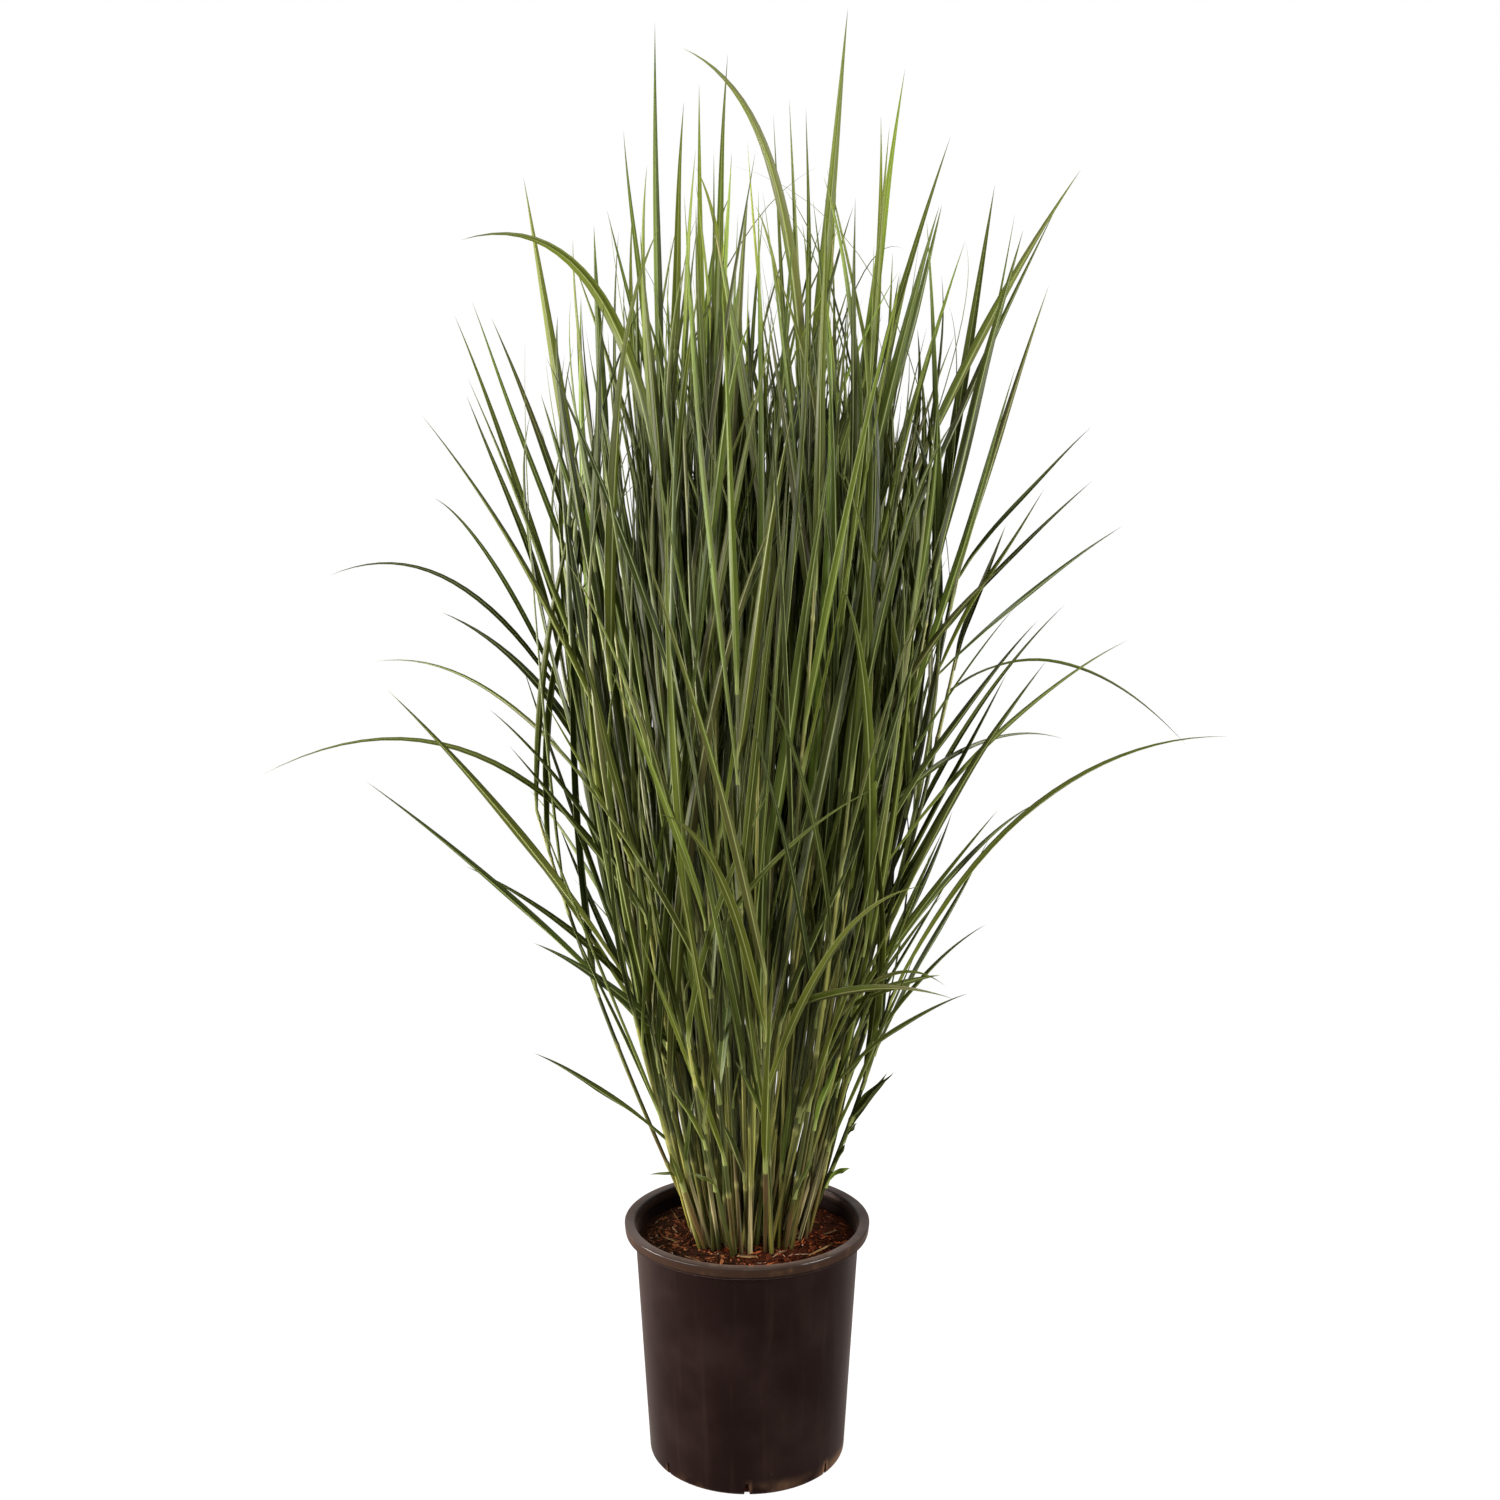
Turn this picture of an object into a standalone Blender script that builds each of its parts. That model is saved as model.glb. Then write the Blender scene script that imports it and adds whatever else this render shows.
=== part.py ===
"""Potted switchgrass: a tall clump of grass standing in a round nursery pot.

Metres, +Z up. The origin is the centre of the pot's underside and the viewer stands at -Y.
The pot, the growing mix and each of the clump's main tillers are pieces of their own. A tiller
is one grown body: a round stem that ends in a long blade and carries others on its sides.
"""
import math
import random

import bmesh
import bpy
from mathutils import Vector, kdtree

# Pot
POT_HEIGHT = 0.234
RIM_RADIUS = 0.120
FLANGE_WIDTH = 0.010
BAND_HEIGHT = 0.0115
BAND_TUCK = 0.0040
RIM_EDGE = 0.0010
THROAT_DEPTH = 0.006
WALL_TOP_RADIUS = 0.1095
BASE_RADIUS = 0.0962
WALL = 0.0020
FLOOR = 0.0030
FOOT_ROUND = 0.005
FOOT_STEPS = 3
POT_SIDES = 42

# Drain slots through the pot's bottom edge
SLOT_COUNT = 7
SLOT_HEIGHT = 0.013
SLOT_WIDTH = 0.006
SLOT_TOP_WIDTH = 0.0025
SLOT_DEPTH = 0.008

# Growing mix
GAP = 0.0003
SOIL_EDGE = 0.214
CROWN_HEIGHT = 0.2195
CROWN_RADIUS = 0.064
SOIL_RINGS = 4
SOIL_LUMP = 0.0016

# Clump
TILLER_COUNT = 56
FEET_RADIUS = 0.058
FAN_HEIGHT = 0.45
CULM_RADIUS = 0.0025
CULM_TOP_RADIUS = 0.0017
CULM_BOW = (0.62, 0.50)
CULM_MIDS = (0.28, 0.55, 0.80)
MID_SPACE = 0.12
COLLAR_HEIGHT = 0.012
COLLAR_SPACE = 0.016

# Blades
BLADE_THICKNESS = 0.0011
BLADE_ROOT_LEAN = 0.22
ARCHED = 0.30
PLAIN_STATIONS = (0.08, 0.42, 0.78)
ARCHED_STATIONS = (0.08, 0.30, 0.52, 0.72, 0.88)
ROOT_WIDTH = 0.62
WIDTH_SWELL = 0.28
TAPER = 1.7
TWIST_SHARE = 0.5
SHOWN_SHARE = 0.75
LOOSE_TWIST = 1.2

# Clearance between neighbouring tillers
SAMPLE_STEP = 0.0035
CLEAR = 0.0044
OWN_CLEAR = 0.0026
OWN_ROOT = 0.030
OUTLINE_TRIES = 80
DEPTH_SLIP = 0.16
TIP_SLIP = 0.02
ROOT_SLIP = 0.08
CULM_SLIP = 0.002
REDRAWS = 120
SHRINK = 0.5

# What the front view shows of the clump's body: an ellipse seen by a viewer at -Y
VIEWER_DISTANCE = 1.57
VIEWER_HEIGHT = 0.88
BODY_MIDDLE = 0.80
BODY_REACH = 0.23
BODY_RISE = 0.46

SEED = 20
GOLDEN_ANGLE = math.pi * (3 - math.sqrt(5))

# The tillers that shape the outline seen from the front: the top of the stem, then its blades.
# A blade is (share of the stem's height, tip, arch, width), and the first one ends the stem.
OUTLINE_TILLERS = [
    ((-0.102, -0.020, 0.458), [(1.00, (-0.329, -0.050, 0.757), 0.12, 0.014),
                               (0.90, (-0.343, -0.090, 0.679), 0.10, 0.011),
                               (0.42, (-0.203, -0.030, 0.409), 0.15, 0.010)]),
    ((-0.093, 0.010, 0.549), [(1.00, (-0.290, 0.020, 0.826), 0.45, 0.012),
                              (0.93, (-0.455, 0.030, 0.672), 0.62, 0.007),
                              (0.60, (-0.260, -0.060, 0.595), 0.25, 0.008)]),
    ((-0.095, -0.015, 0.621), [(1.00, (-0.280, -0.060, 0.995), 0.20, 0.010),
                               (0.90, (-0.383, 0.060, 0.758), 0.50, 0.006),
                               (0.72, (-0.216, -0.050, 0.713), 0.10, 0.010)]),
    ((-0.151, 0.020, 0.722), [(1.00, (-0.278, 0.050, 1.106), 0.20, 0.009),
                              (0.93, (-0.393, 0.000, 0.860), 0.75, 0.006)]),
    ((-0.180, 0.030, 0.789), [(1.00, (-0.275, 0.090, 1.035), 0.15, 0.008),
                              (0.90, (-0.315, 0.120, 0.937), 0.50, 0.006)]),
    ((-0.144, -0.020, 0.838), [(1.00, (-0.196, -0.060, 1.209), 0.15, 0.014),
                               (0.94, (-0.258, 0.030, 1.116), 0.30, 0.006),
                               (0.80, (-0.242, -0.100, 1.033), 0.20, 0.007)]),
    ((-0.142, 0.040, 0.817), [(1.00, (-0.254, 0.120, 1.114), 0.15, 0.009),
                              (0.75, (-0.220, 0.140, 0.900), 0.25, 0.010)]),
    ((-0.128, -0.030, 0.948), [(1.00, (-0.131, -0.100, 1.161), 0.10, 0.010),
                               (0.75, (-0.180, -0.090, 1.020), 0.15, 0.011)]),
    ((-0.074, -0.050, 0.875), [(1.00, (-0.236, -0.140, 1.135), 1.00, 0.014),
                               (0.70, (-0.120, -0.180, 0.960), 0.20, 0.012)]),
    ((-0.080, -0.010, 1.003), [(1.00, (-0.082, -0.020, 1.352), 0.10, 0.010),
                               (0.93, (-0.116, 0.050, 1.276), 0.10, 0.008),
                               (0.86, (-0.154, -0.080, 1.143), 0.10, 0.006)]),
    ((-0.071, 0.030, 0.997), [(1.00, (-0.061, 0.100, 1.315), 0.10, 0.010),
                              (0.92, (-0.140, 0.140, 1.222), 0.20, 0.008),
                              (0.80, (-0.079, 0.110, 1.150), 0.10, 0.009)]),
    ((-0.041, 0.050, 0.980), [(1.00, (-0.048, 0.160, 1.348), 0.20, 0.009),
                              (0.75, (-0.060, 0.180, 1.100), 0.15, 0.011)]),
    ((-0.032, 0.000, 1.004), [(1.00, (-0.018, 0.060, 1.348), 0.10, 0.009),
                              (0.78, (-0.020, -0.070, 1.190), 0.10, 0.012)]),
    ((-0.068, -0.070, 0.804), [(1.00, (-0.087, -0.170, 1.143), 0.15, 0.013),
                               (0.28, (-0.199, -0.120, 0.515), 0.25, 0.012)]),
    ((0.138, 0.000, 0.453), [(1.00, (0.448, -0.030, 0.712), 0.50, 0.010),
                             (0.80, (0.240, 0.060, 0.600), 0.15, 0.009),
                             (0.50, (0.140, -0.030, 0.390), 0.10, 0.008)]),
    ((0.122, -0.020, 0.497), [(1.00, (0.274, -0.050, 0.784), 0.20, 0.012),
                              (0.90, (0.280, 0.020, 0.642), 0.40, 0.008),
                              (0.60, (0.220, -0.070, 0.543), 0.35, 0.007)]),
    ((0.130, 0.020, 0.547), [(1.00, (0.322, 0.060, 0.827), 0.30, 0.007),
                             (0.90, (0.202, -0.020, 0.673), 0.10, 0.012),
                             (0.55, (0.200, 0.110, 0.600), 0.20, 0.009)]),
    ((0.120, -0.040, 0.605), [(1.00, (0.260, -0.070, 0.823), 0.15, 0.010),
                              (0.92, (0.359, 0.000, 0.800), 0.30, 0.007),
                              (0.40, (0.201, -0.100, 0.486), 0.25, 0.008)]),
    ((0.118, -0.060, 0.710), [(1.00, (0.233, -0.110, 0.878), 0.25, 0.009),
                              (0.80, (0.309, 0.050, 0.701), 0.45, 0.006),
                              (0.40, (0.175, -0.140, 0.503), 0.65, 0.009)]),
    ((0.199, 0.020, 0.780), [(1.00, (0.250, 0.050, 0.909), 0.10, 0.009),
                             (0.95, (0.426, 0.030, 0.696), 0.42, 0.006)]),
    ((0.195, 0.000, 0.856), [(1.00, (0.320, 0.000, 0.998), 0.10, 0.007),
                             (0.93, (0.310, -0.060, 0.946), 0.10, 0.006),
                             (0.86, (0.365, 0.060, 0.908), 0.10, 0.007)]),
    ((0.190, -0.030, 0.838), [(1.00, (0.269, -0.050, 1.118), 0.10, 0.010),
                              (0.90, (0.262, -0.090, 0.938), 0.15, 0.007)]),
    ((0.172, -0.050, 0.866), [(1.00, (0.239, -0.090, 1.159), 0.10, 0.013),
                              (0.80, (0.230, -0.120, 1.040), 0.10, 0.010)]),
    ((0.180, 0.040, 0.875), [(1.00, (0.238, 0.080, 1.233), 0.10, 0.013),
                             (0.90, (0.264, 0.120, 1.214), 0.10, 0.007)]),
    ((0.145, -0.020, 0.930), [(1.00, (0.290, -0.080, 1.212), 0.15, 0.012),
                              (0.93, (0.282, -0.010, 1.195), 0.15, 0.009)]),
    ((0.107, -0.050, 0.929), [(1.00, (0.163, -0.120, 1.173), 0.12, 0.012),
                              (0.92, (0.194, -0.050, 1.157), 0.12, 0.009),
                              (0.80, (0.161, -0.150, 1.080), 0.15, 0.008)]),
    ((0.115, 0.030, 1.010), [(1.00, (0.195, 0.080, 1.278), 0.10, 0.008),
                             (0.90, (0.126, 0.050, 1.291), 0.20, 0.009)]),
    ((0.100, 0.000, 0.976), [(1.00, (0.148, 0.050, 1.332), 0.10, 0.011),
                             (0.90, (0.125, -0.060, 1.253), 0.10, 0.009)]),
    ((0.059, -0.020, 0.993), [(1.00, (0.088, -0.060, 1.352), 0.10, 0.013),
                              (0.93, (0.055, 0.040, 1.294), 0.10, 0.007),
                              (0.85, (0.036, -0.110, 1.263), 0.10, 0.009)]),
    ((0.050, -0.070, 0.985), [(1.00, (-0.052, -0.160, 1.289), 0.70, 0.012),
                              (0.90, (0.030, -0.020, 1.280), 0.10, 0.007),
                              (0.24, (0.186, -0.120, 0.512), 0.20, 0.013)]),
]

# The tillers that round the clump out: angles in degrees about the axis, heights of the stems'
# tops, and how far those tops are from the axis. The core ones stand near the axis.
FILL_FRONT = (-155, -25)
FILL_BACK = (25, 155)
FILL_TURN = 4
FILL_HEIGHTS = (0.50, 0.88, 0.66, 0.97, 0.58, 0.80)
FILL_RISE = 0.03
FILL_NEAR = 0.105
FILL_SPREAD = 0.07
FILL_FULL_HEIGHT = 0.8
CORE_COUNT = 4
CORE_REACH = 0.035
CORE_TURN = 0.6
CORE_LOWEST = 0.84
CORE_STEP = 0.04

# Their blades: where each leaves its stem, lengths, and angles in degrees above the horizontal
FILL_SHARES = ((1.0, 1.0), (0.80, 0.90), (0.50, 0.70), (0.38, 0.44))
LONG_BLADE = (0.30, 0.48)
SHORT_BLADE = (0.18, 0.28)
BLADE_WIDTHS = (0.008, 0.013)
SIDE_SPREAD = 0.6
STEEPNESS = (40, 66)
HIGH_STEEPENING = 28
STEEPEST = 84
ARCHES = (0.10, 0.15, 0.25, 0.50)

# The solid stem's side whose two triangles meet on the other diagonal
CROSSED_SIDE = 2


def clear_scene():
    for old in list(bpy.data.objects):
        bpy.data.objects.remove(old, do_unlink=True)


def plain_material(name, colour, roughness):
    material = bpy.data.materials.new(name)
    material.use_nodes = True
    shader = material.node_tree.nodes["Principled BSDF"]
    shader.inputs["Base Color"].default_value = (*colour, 1.0)
    shader.inputs["Roughness"].default_value = roughness
    shader.inputs["Metallic"].default_value = 0.0
    return material


def add_object(name, bm, material):
    bmesh.ops.recalc_face_normals(bm, faces=bm.faces)
    mesh = bpy.data.meshes.new(name)
    bm.to_mesh(mesh)
    bm.free()
    mesh.materials.append(material)
    thing = bpy.data.objects.new(name, mesh)
    bpy.context.scene.collection.objects.link(thing)
    return thing


# Pot and growing mix

def wall_radius(height):
    """Outer radius of the pot's straight tapered wall."""
    top = POT_HEIGHT - BAND_HEIGHT
    return BASE_RADIUS + (WALL_TOP_RADIUS - BASE_RADIUS) * height / top


def turned(profile, sides):
    """Closed body from a profile of (radius, height) points that starts and ends on the axis."""
    bm = bmesh.new()
    points = [bm.verts.new((radius, 0.0, height)) for radius, height in profile]
    edges = [bm.edges.new(pair) for pair in zip(points, points[1:])]
    bmesh.ops.spin(bm, geom=points + edges, cent=(0, 0, 0), axis=(0, 0, 1),
                   angle=2 * math.pi, steps=sides, use_merge=True)
    bmesh.ops.remove_doubles(bm, verts=bm.verts, dist=1e-6)
    return bm


def pot_profile():
    rounded_foot = []
    for step in range(FOOT_STEPS + 1):
        turn = math.radians(90 * step / FOOT_STEPS)
        rounded_foot.append((BASE_RADIUS - FOOT_ROUND + FOOT_ROUND * math.sin(turn),
                             FOOT_ROUND - FOOT_ROUND * math.cos(turn)))
    band_low = POT_HEIGHT - BAND_HEIGHT
    outside = [(0, 0)] + rounded_foot + [
        (wall_radius(band_low - BAND_TUCK), band_low - BAND_TUCK),
        (RIM_RADIUS - BAND_TUCK, band_low),
        (RIM_RADIUS - RIM_EDGE, band_low + BAND_TUCK),
        (RIM_RADIUS, POT_HEIGHT - RIM_EDGE),
        (RIM_RADIUS - RIM_EDGE, POT_HEIGHT),
    ]
    inside = [
        (RIM_RADIUS - FLANGE_WIDTH, POT_HEIGHT),
        (wall_radius(POT_HEIGHT - THROAT_DEPTH) - WALL, POT_HEIGHT - THROAT_DEPTH),
        (wall_radius(FLOOR) - WALL, FLOOR),
        (0, FLOOR),
    ]
    return outside + inside


def slot_cutter():
    """One wedge for each drain slot, wide at the pot's underside and narrow at the top."""
    bm = bmesh.new()
    inner = BASE_RADIUS - SLOT_DEPTH
    outer = BASE_RADIUS + SLOT_DEPTH
    for index in range(SLOT_COUNT):
        turn = -math.pi / 2 + 2 * math.pi * index / SLOT_COUNT
        outward = Vector((math.cos(turn), math.sin(turn), 0))
        across = Vector((-math.sin(turn), math.cos(turn), 0))
        corners = []
        for height, width in ((-WALL, SLOT_WIDTH), (SLOT_HEIGHT, SLOT_TOP_WIDTH)):
            for radius, side in ((inner, -1), (outer, -1), (outer, 1), (inner, 1)):
                place = outward * radius + across * (side * width / 2)
                corners.append(bm.verts.new((place.x, place.y, height)))
        for face in ((0, 3, 2, 1), (4, 5, 6, 7), (0, 1, 5, 4), (1, 2, 6, 5), (2, 3, 7, 6),
                     (3, 0, 4, 7)):
            bm.faces.new([corners[corner] for corner in face])
    cutter = add_object("slot_cutter", bm, plain_material("cutter", (0.5, 0.5, 0.5), 0.5))
    cutter.hide_render = True
    cutter.display_type = "WIRE"
    return cutter


def build_pot():
    material = plain_material("pot_plastic", (0.020, 0.015, 0.013), 0.42)
    pot = add_object("pot", turned(pot_profile(), POT_SIDES), material)
    cut = pot.modifiers.new("drain_slots", "BOOLEAN")
    cut.operation = "DIFFERENCE"
    cut.object = slot_cutter()
    pot.data.shade_smooth()
    pot.data.set_sharp_from_angle(angle=math.radians(35))


def build_soil():
    """The mix fills the pot and mounds up a little to the level crown that the stems leave."""
    inner_edge = wall_radius(SOIL_EDGE) - WALL - GAP
    profile = [(0, FLOOR + GAP), (wall_radius(FLOOR) - WALL - GAP, FLOOR + GAP),
               (inner_edge, SOIL_EDGE)]
    for ring in range(1, SOIL_RINGS + 1):
        share = ring / SOIL_RINGS
        profile.append((inner_edge + (CROWN_RADIUS - inner_edge) * share,
                        SOIL_EDGE + (CROWN_HEIGHT - SOIL_EDGE) * math.sin(share * math.pi / 2)))
    profile.append((0, CROWN_HEIGHT))
    bm = turned(profile, POT_SIDES)
    draw = random.Random(SEED)
    for vert in bm.verts:
        reach = math.hypot(vert.co.x, vert.co.y)
        if vert.co.z > SOIL_EDGE + GAP and reach > CROWN_RADIUS + GAP:
            vert.co.z += draw.uniform(-SOIL_LUMP, SOIL_LUMP)
    add_object("soil", bm, plain_material("bark_mix", (0.075, 0.036, 0.020), 0.95))


# Paths of stems and blades

def curve_point(curve, share):
    start, control, end = curve
    back = 1 - share
    return start * back ** 2 + control * (2 * share * back) + end * share ** 2


def curve_direction(curve, share):
    start, control, end = curve
    return ((control - start) * (1 - share) + (end - control) * share).normalized()


def culm_curve(foot, top):
    across, up = CULM_BOW
    control = Vector((foot.x + (top.x - foot.x) * across, foot.y + (top.y - foot.y) * across,
                      foot.z + (top.z - foot.z) * up))
    return foot, control, top


def culm_radius(share):
    return CULM_RADIUS + (CULM_TOP_RADIUS - CULM_RADIUS) * share


def blade_curve(culm, blade):
    """The blade leaves along the stem and leans out to its tip: arch 0 is a straight line."""
    share, tip, arch = blade[:3]
    root = curve_point(culm, share)
    chord = tip - root
    outward = Vector((chord.x, chord.y, 0)).normalized()
    leave = curve_direction(culm, share)
    if share < 1:
        leave = (leave + outward * BLADE_ROOT_LEAN).normalized()
        root = root + outward * culm_radius(share)
    control = root + chord * (0.5 * (1 - arch)) + leave * (chord.length * arch)
    return root, control, tip


def blade_width(share, width):
    """Widest at about a third of the length, then tapering in one long curve to the tip."""
    if share < WIDTH_SWELL:
        swell = math.sin(share / WIDTH_SWELL * math.pi / 2)
        return width * (ROOT_WIDTH + (1 - ROOT_WIDTH) * swell)
    rest = (share - WIDTH_SWELL) / (1 - WIDTH_SWELL)
    return width * (1 - rest ** TAPER)


def front_twist(culm, blade, start_azimuth):
    """The twist that turns a blade's width most of the way to the front."""
    direction = curve_direction(blade_curve(culm, blade), 0.5)
    wanted = direction.cross(Vector((0, 1, 0))).normalized()
    across = square_to(level_across(start_azimuth), direction)
    angle = math.atan2(across.cross(wanted).dot(direction), across.dot(wanted))
    if abs(angle) > math.pi / 2:
        angle -= math.copysign(math.pi, angle)
    return angle * SHOWN_SHARE


def turned_about(vector, axis, angle):
    return (vector * math.cos(angle) + axis.cross(vector) * math.sin(angle)
            + axis * (axis.dot(vector) * (1 - math.cos(angle))))


def square_to(vector, direction):
    return (vector - direction * vector.dot(direction)).normalized()


def level_across(azimuth):
    return Vector((-math.sin(azimuth), math.cos(azimuth), 0))


def blade_sections(culm, blade, start_azimuth):
    """The blade's cross-sections: centre, direction along its width, direction out of its
    underside, and width. The tip, where the curve ends, comes after the last one."""
    _, _, arch, width, twist = blade
    curve = blade_curve(culm, blade)
    across = level_across(start_azimuth)
    sections = []
    for share in ARCHED_STATIONS if arch > ARCHED else PLAIN_STATIONS:
        direction = curve_direction(curve, share)
        across = square_to(across, direction)
        turned_across = turned_about(across, direction, twist * min(1.0, share / TWIST_SHARE))
        sections.append((curve_point(curve, share), turned_across,
                         turned_across.cross(direction), blade_width(share, width)))
    return sections, curve


def azimuth_of(vector):
    return math.atan2(vector.y, vector.x)


# Where every tiller stands

class Clearance:
    """Points on every stem and blade placed so far, each with the tiller that it belongs to."""

    def __init__(self):
        self.points = []
        self.owners = []
        self.tree = None

    def add(self, points, owner):
        self.points += points
        self.owners += [owner] * len(points)
        self.tree = kdtree.KDTree(len(self.points))
        for index, point in enumerate(self.points):
            self.tree.insert(point, index)
        self.tree.balance()

    def blocked(self, points, owner, root):
        for point in points:
            for _, index, distance in self.tree.find_range(point, CLEAR):
                if self.owners[index] != owner:
                    return True
                if distance < OWN_CLEAR and (point - root).length > OWN_ROOT:
                    return True
        return False


def spread(start, end, step):
    count = max(1, math.ceil((end - start).length / step))
    return [start.lerp(end, index / count) for index in range(count + 1)]


def culm_samples(curve):
    count = math.ceil((curve[2] - curve[0]).length / SAMPLE_STEP)
    points = []
    for index in range(count + 1):
        share = index / count
        centre = curve_point(curve, share)
        for turn in range(4):
            angle = math.pi / 2 * turn
            side = Vector((math.cos(angle), math.sin(angle), 0)) * culm_radius(share)
            points.append(centre + side)
    return points


def blade_samples(sections, curve):
    edges = [(curve[0], curve[0])]
    for centre, across, _, width in sections:
        edges.append((centre - across * (width / 2), centre + across * (width / 2)))
    edges.append((curve[2], curve[2]))
    points = []
    for (left, right), (next_left, next_right) in zip(edges, edges[1:]):
        left_line = spread(left, next_left, SAMPLE_STEP)
        for index, place in enumerate(left_line):
            share = index / (len(left_line) - 1)
            points += spread(place, right.lerp(next_right, share), SAMPLE_STEP)
    return points


def feet_spots():
    """Even spots for the feet, in the spiral of a sunflower's head."""
    spots = []
    for index in range(TILLER_COUNT):
        reach = FEET_RADIUS * math.sqrt((index + 0.5) / TILLER_COUNT)
        angle = index * GOLDEN_ANGLE
        spots.append(Vector((reach * math.cos(angle), reach * math.sin(angle),
                             CROWN_HEIGHT + GAP)))
    return spots


def fan_place(top):
    """Where a stem passes the height at which the clump's lowest stems end."""
    foot = Vector((top.x, top.y, 0)).normalized() * (FEET_RADIUS * 0.7)
    foot.z = CROWN_HEIGHT + GAP
    return curve_point(culm_curve(foot, top), (FAN_HEIGHT - foot.z) / (top.z - foot.z))


def shared_feet(tops):
    """Gives every stem a foot. Two stems swap feet while that shortens their way out, which
    ends with a fan in which no two stems cross."""
    places = [fan_place(top) for top in tops]
    feet = feet_spots()

    def cost(place, foot):
        return (place.x - foot.x) ** 2 + (place.y - foot.y) ** 2

    swapped = True
    while swapped:
        swapped = False
        for one in range(len(tops)):
            for two in range(one):
                now = cost(places[one], feet[one]) + cost(places[two], feet[two])
                then = cost(places[one], feet[two]) + cost(places[two], feet[one])
                if then < now - 1e-9:
                    feet[one], feet[two] = feet[two], feet[one]
                    swapped = True
    return feet


def polar(angle, reach, height):
    return Vector((reach * math.cos(angle), reach * math.sin(angle), height))


def fill_tops(draw):
    """Stem tops that round the clump out to the front, to the back and at its core."""
    count = TILLER_COUNT - len(OUTLINE_TILLERS) - CORE_COUNT
    tops = []
    for index in range(count):
        low, high = FILL_FRONT if index % 2 else FILL_BACK
        share = (index // 2 + 0.5) / (count // 2)
        angle = math.radians(low + (high - low) * share + draw.uniform(-FILL_TURN, FILL_TURN))
        height = FILL_HEIGHTS[(index // 2) % len(FILL_HEIGHTS)]
        height += draw.uniform(-FILL_RISE, FILL_RISE)
        spread_out = draw.random() * min(1.0, height / FILL_FULL_HEIGHT)
        tops.append(polar(angle, FILL_NEAR + FILL_SPREAD * spread_out, height))
    for index in range(CORE_COUNT):
        tops.append(polar(math.pi / 2 * index + CORE_TURN, CORE_REACH,
                          CORE_LOWEST + CORE_STEP * index))
    return tops


def drawn_blade(culm, share, size, draw):
    """A blade of a fill tiller, low ones short and leaning out, high ones long and steep."""
    root = curve_point(culm, share)
    angle = azimuth_of(culm[2]) + draw.gauss(0, SIDE_SPREAD)
    length = size * draw.uniform(*(LONG_BLADE if share > 0.5 else SHORT_BLADE))
    steepening = HIGH_STEEPENING * max(0.0, (root.z - 0.5) / 0.5)
    steep = math.radians(min(STEEPEST, draw.uniform(*STEEPNESS) + steepening))
    tip = root + polar(angle, length * math.cos(steep), length * math.sin(steep))
    twist = draw.uniform(-1, 1) * LOOSE_TWIST
    return share, tip, draw.choice(ARCHES), draw.uniform(*BLADE_WIDTHS), twist


def place_blade(culm, blade, azimuth, clearance, owner):
    """Says whether the blade's place is free, and takes it if it is."""
    sections, curve = blade_sections(culm, blade, azimuth(blade[1]))
    points = blade_samples(sections, curve)
    if clearance.blocked(points, owner, curve[0]):
        return False
    clearance.add(points, owner)
    return True


def place_outline_blade(culm, blade, azimuth, clearance, owner, draw):
    """Keeps the blade's tip where the front view shows it, and moves it mostly in depth."""
    share, tip, arch, width = blade
    for attempt in range(OUTLINE_TRIES):
        slip = attempt / OUTLINE_TRIES
        shift = Vector((draw.uniform(-1, 1) * TIP_SLIP, draw.uniform(-1, 1) * DEPTH_SLIP,
                        draw.uniform(-1, 1) * TIP_SLIP)) * slip
        root = share if share == 1 else share + draw.uniform(-1, 1) * ROOT_SLIP * slip
        moved = (root, Vector(tip) + shift, arch, width)
        moved += (front_twist(culm, moved, azimuth(moved[1])),)
        if place_blade(culm, moved, azimuth, clearance, owner):
            return moved
    raise RuntimeError(f"no free place for a blade of tiller {owner + 1} ending at {tip}")


def inside_front_outline(tip):
    """Whether the viewer sees this tip inside the body of the clump."""
    nearness = VIEWER_DISTANCE / (VIEWER_DISTANCE + tip.y)
    across = tip.x * nearness
    height = VIEWER_HEIGHT + (tip.z - VIEWER_HEIGHT) * nearness
    return (across / BODY_REACH) ** 2 + ((height - BODY_MIDDLE) / BODY_RISE) ** 2 < 1


def place_fill_blade(culm, share, azimuth, clearance, owner, draw):
    for attempt in range(REDRAWS):
        size = 1 - SHRINK * attempt / REDRAWS
        blade = drawn_blade(culm, share, size, draw)
        if inside_front_outline(blade[1]) and place_blade(culm, blade, azimuth, clearance, owner):
            return blade
    raise RuntimeError(f"no free place for a blade of fill tiller {owner + 1} at {share}")


def place_culm(foot, top, clearance, owner, draw):
    """Moves the stem's top, mostly in depth, until the whole stem clears the others."""
    for attempt in range(REDRAWS):
        slip = CULM_SLIP * attempt
        moved = top + Vector((draw.uniform(-slip, slip) / 4, draw.uniform(-slip, slip), 0))
        curve = culm_curve(foot, moved)
        points = culm_samples(curve)
        if clearance.tree is None or not clearance.blocked(points, owner, foot):
            clearance.add(points, owner)
            return curve
    raise RuntimeError(f"no free place for the stem of tiller {owner + 1}")


def face_azimuth(main, top):
    """The stem has four sides, one of them towards its end blade: a blade leaves the nearest."""
    def nearest(tip):
        quarter = round((azimuth_of(tip - top) - main) / (math.pi / 2))
        return main + quarter * math.pi / 2
    return nearest


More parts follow.
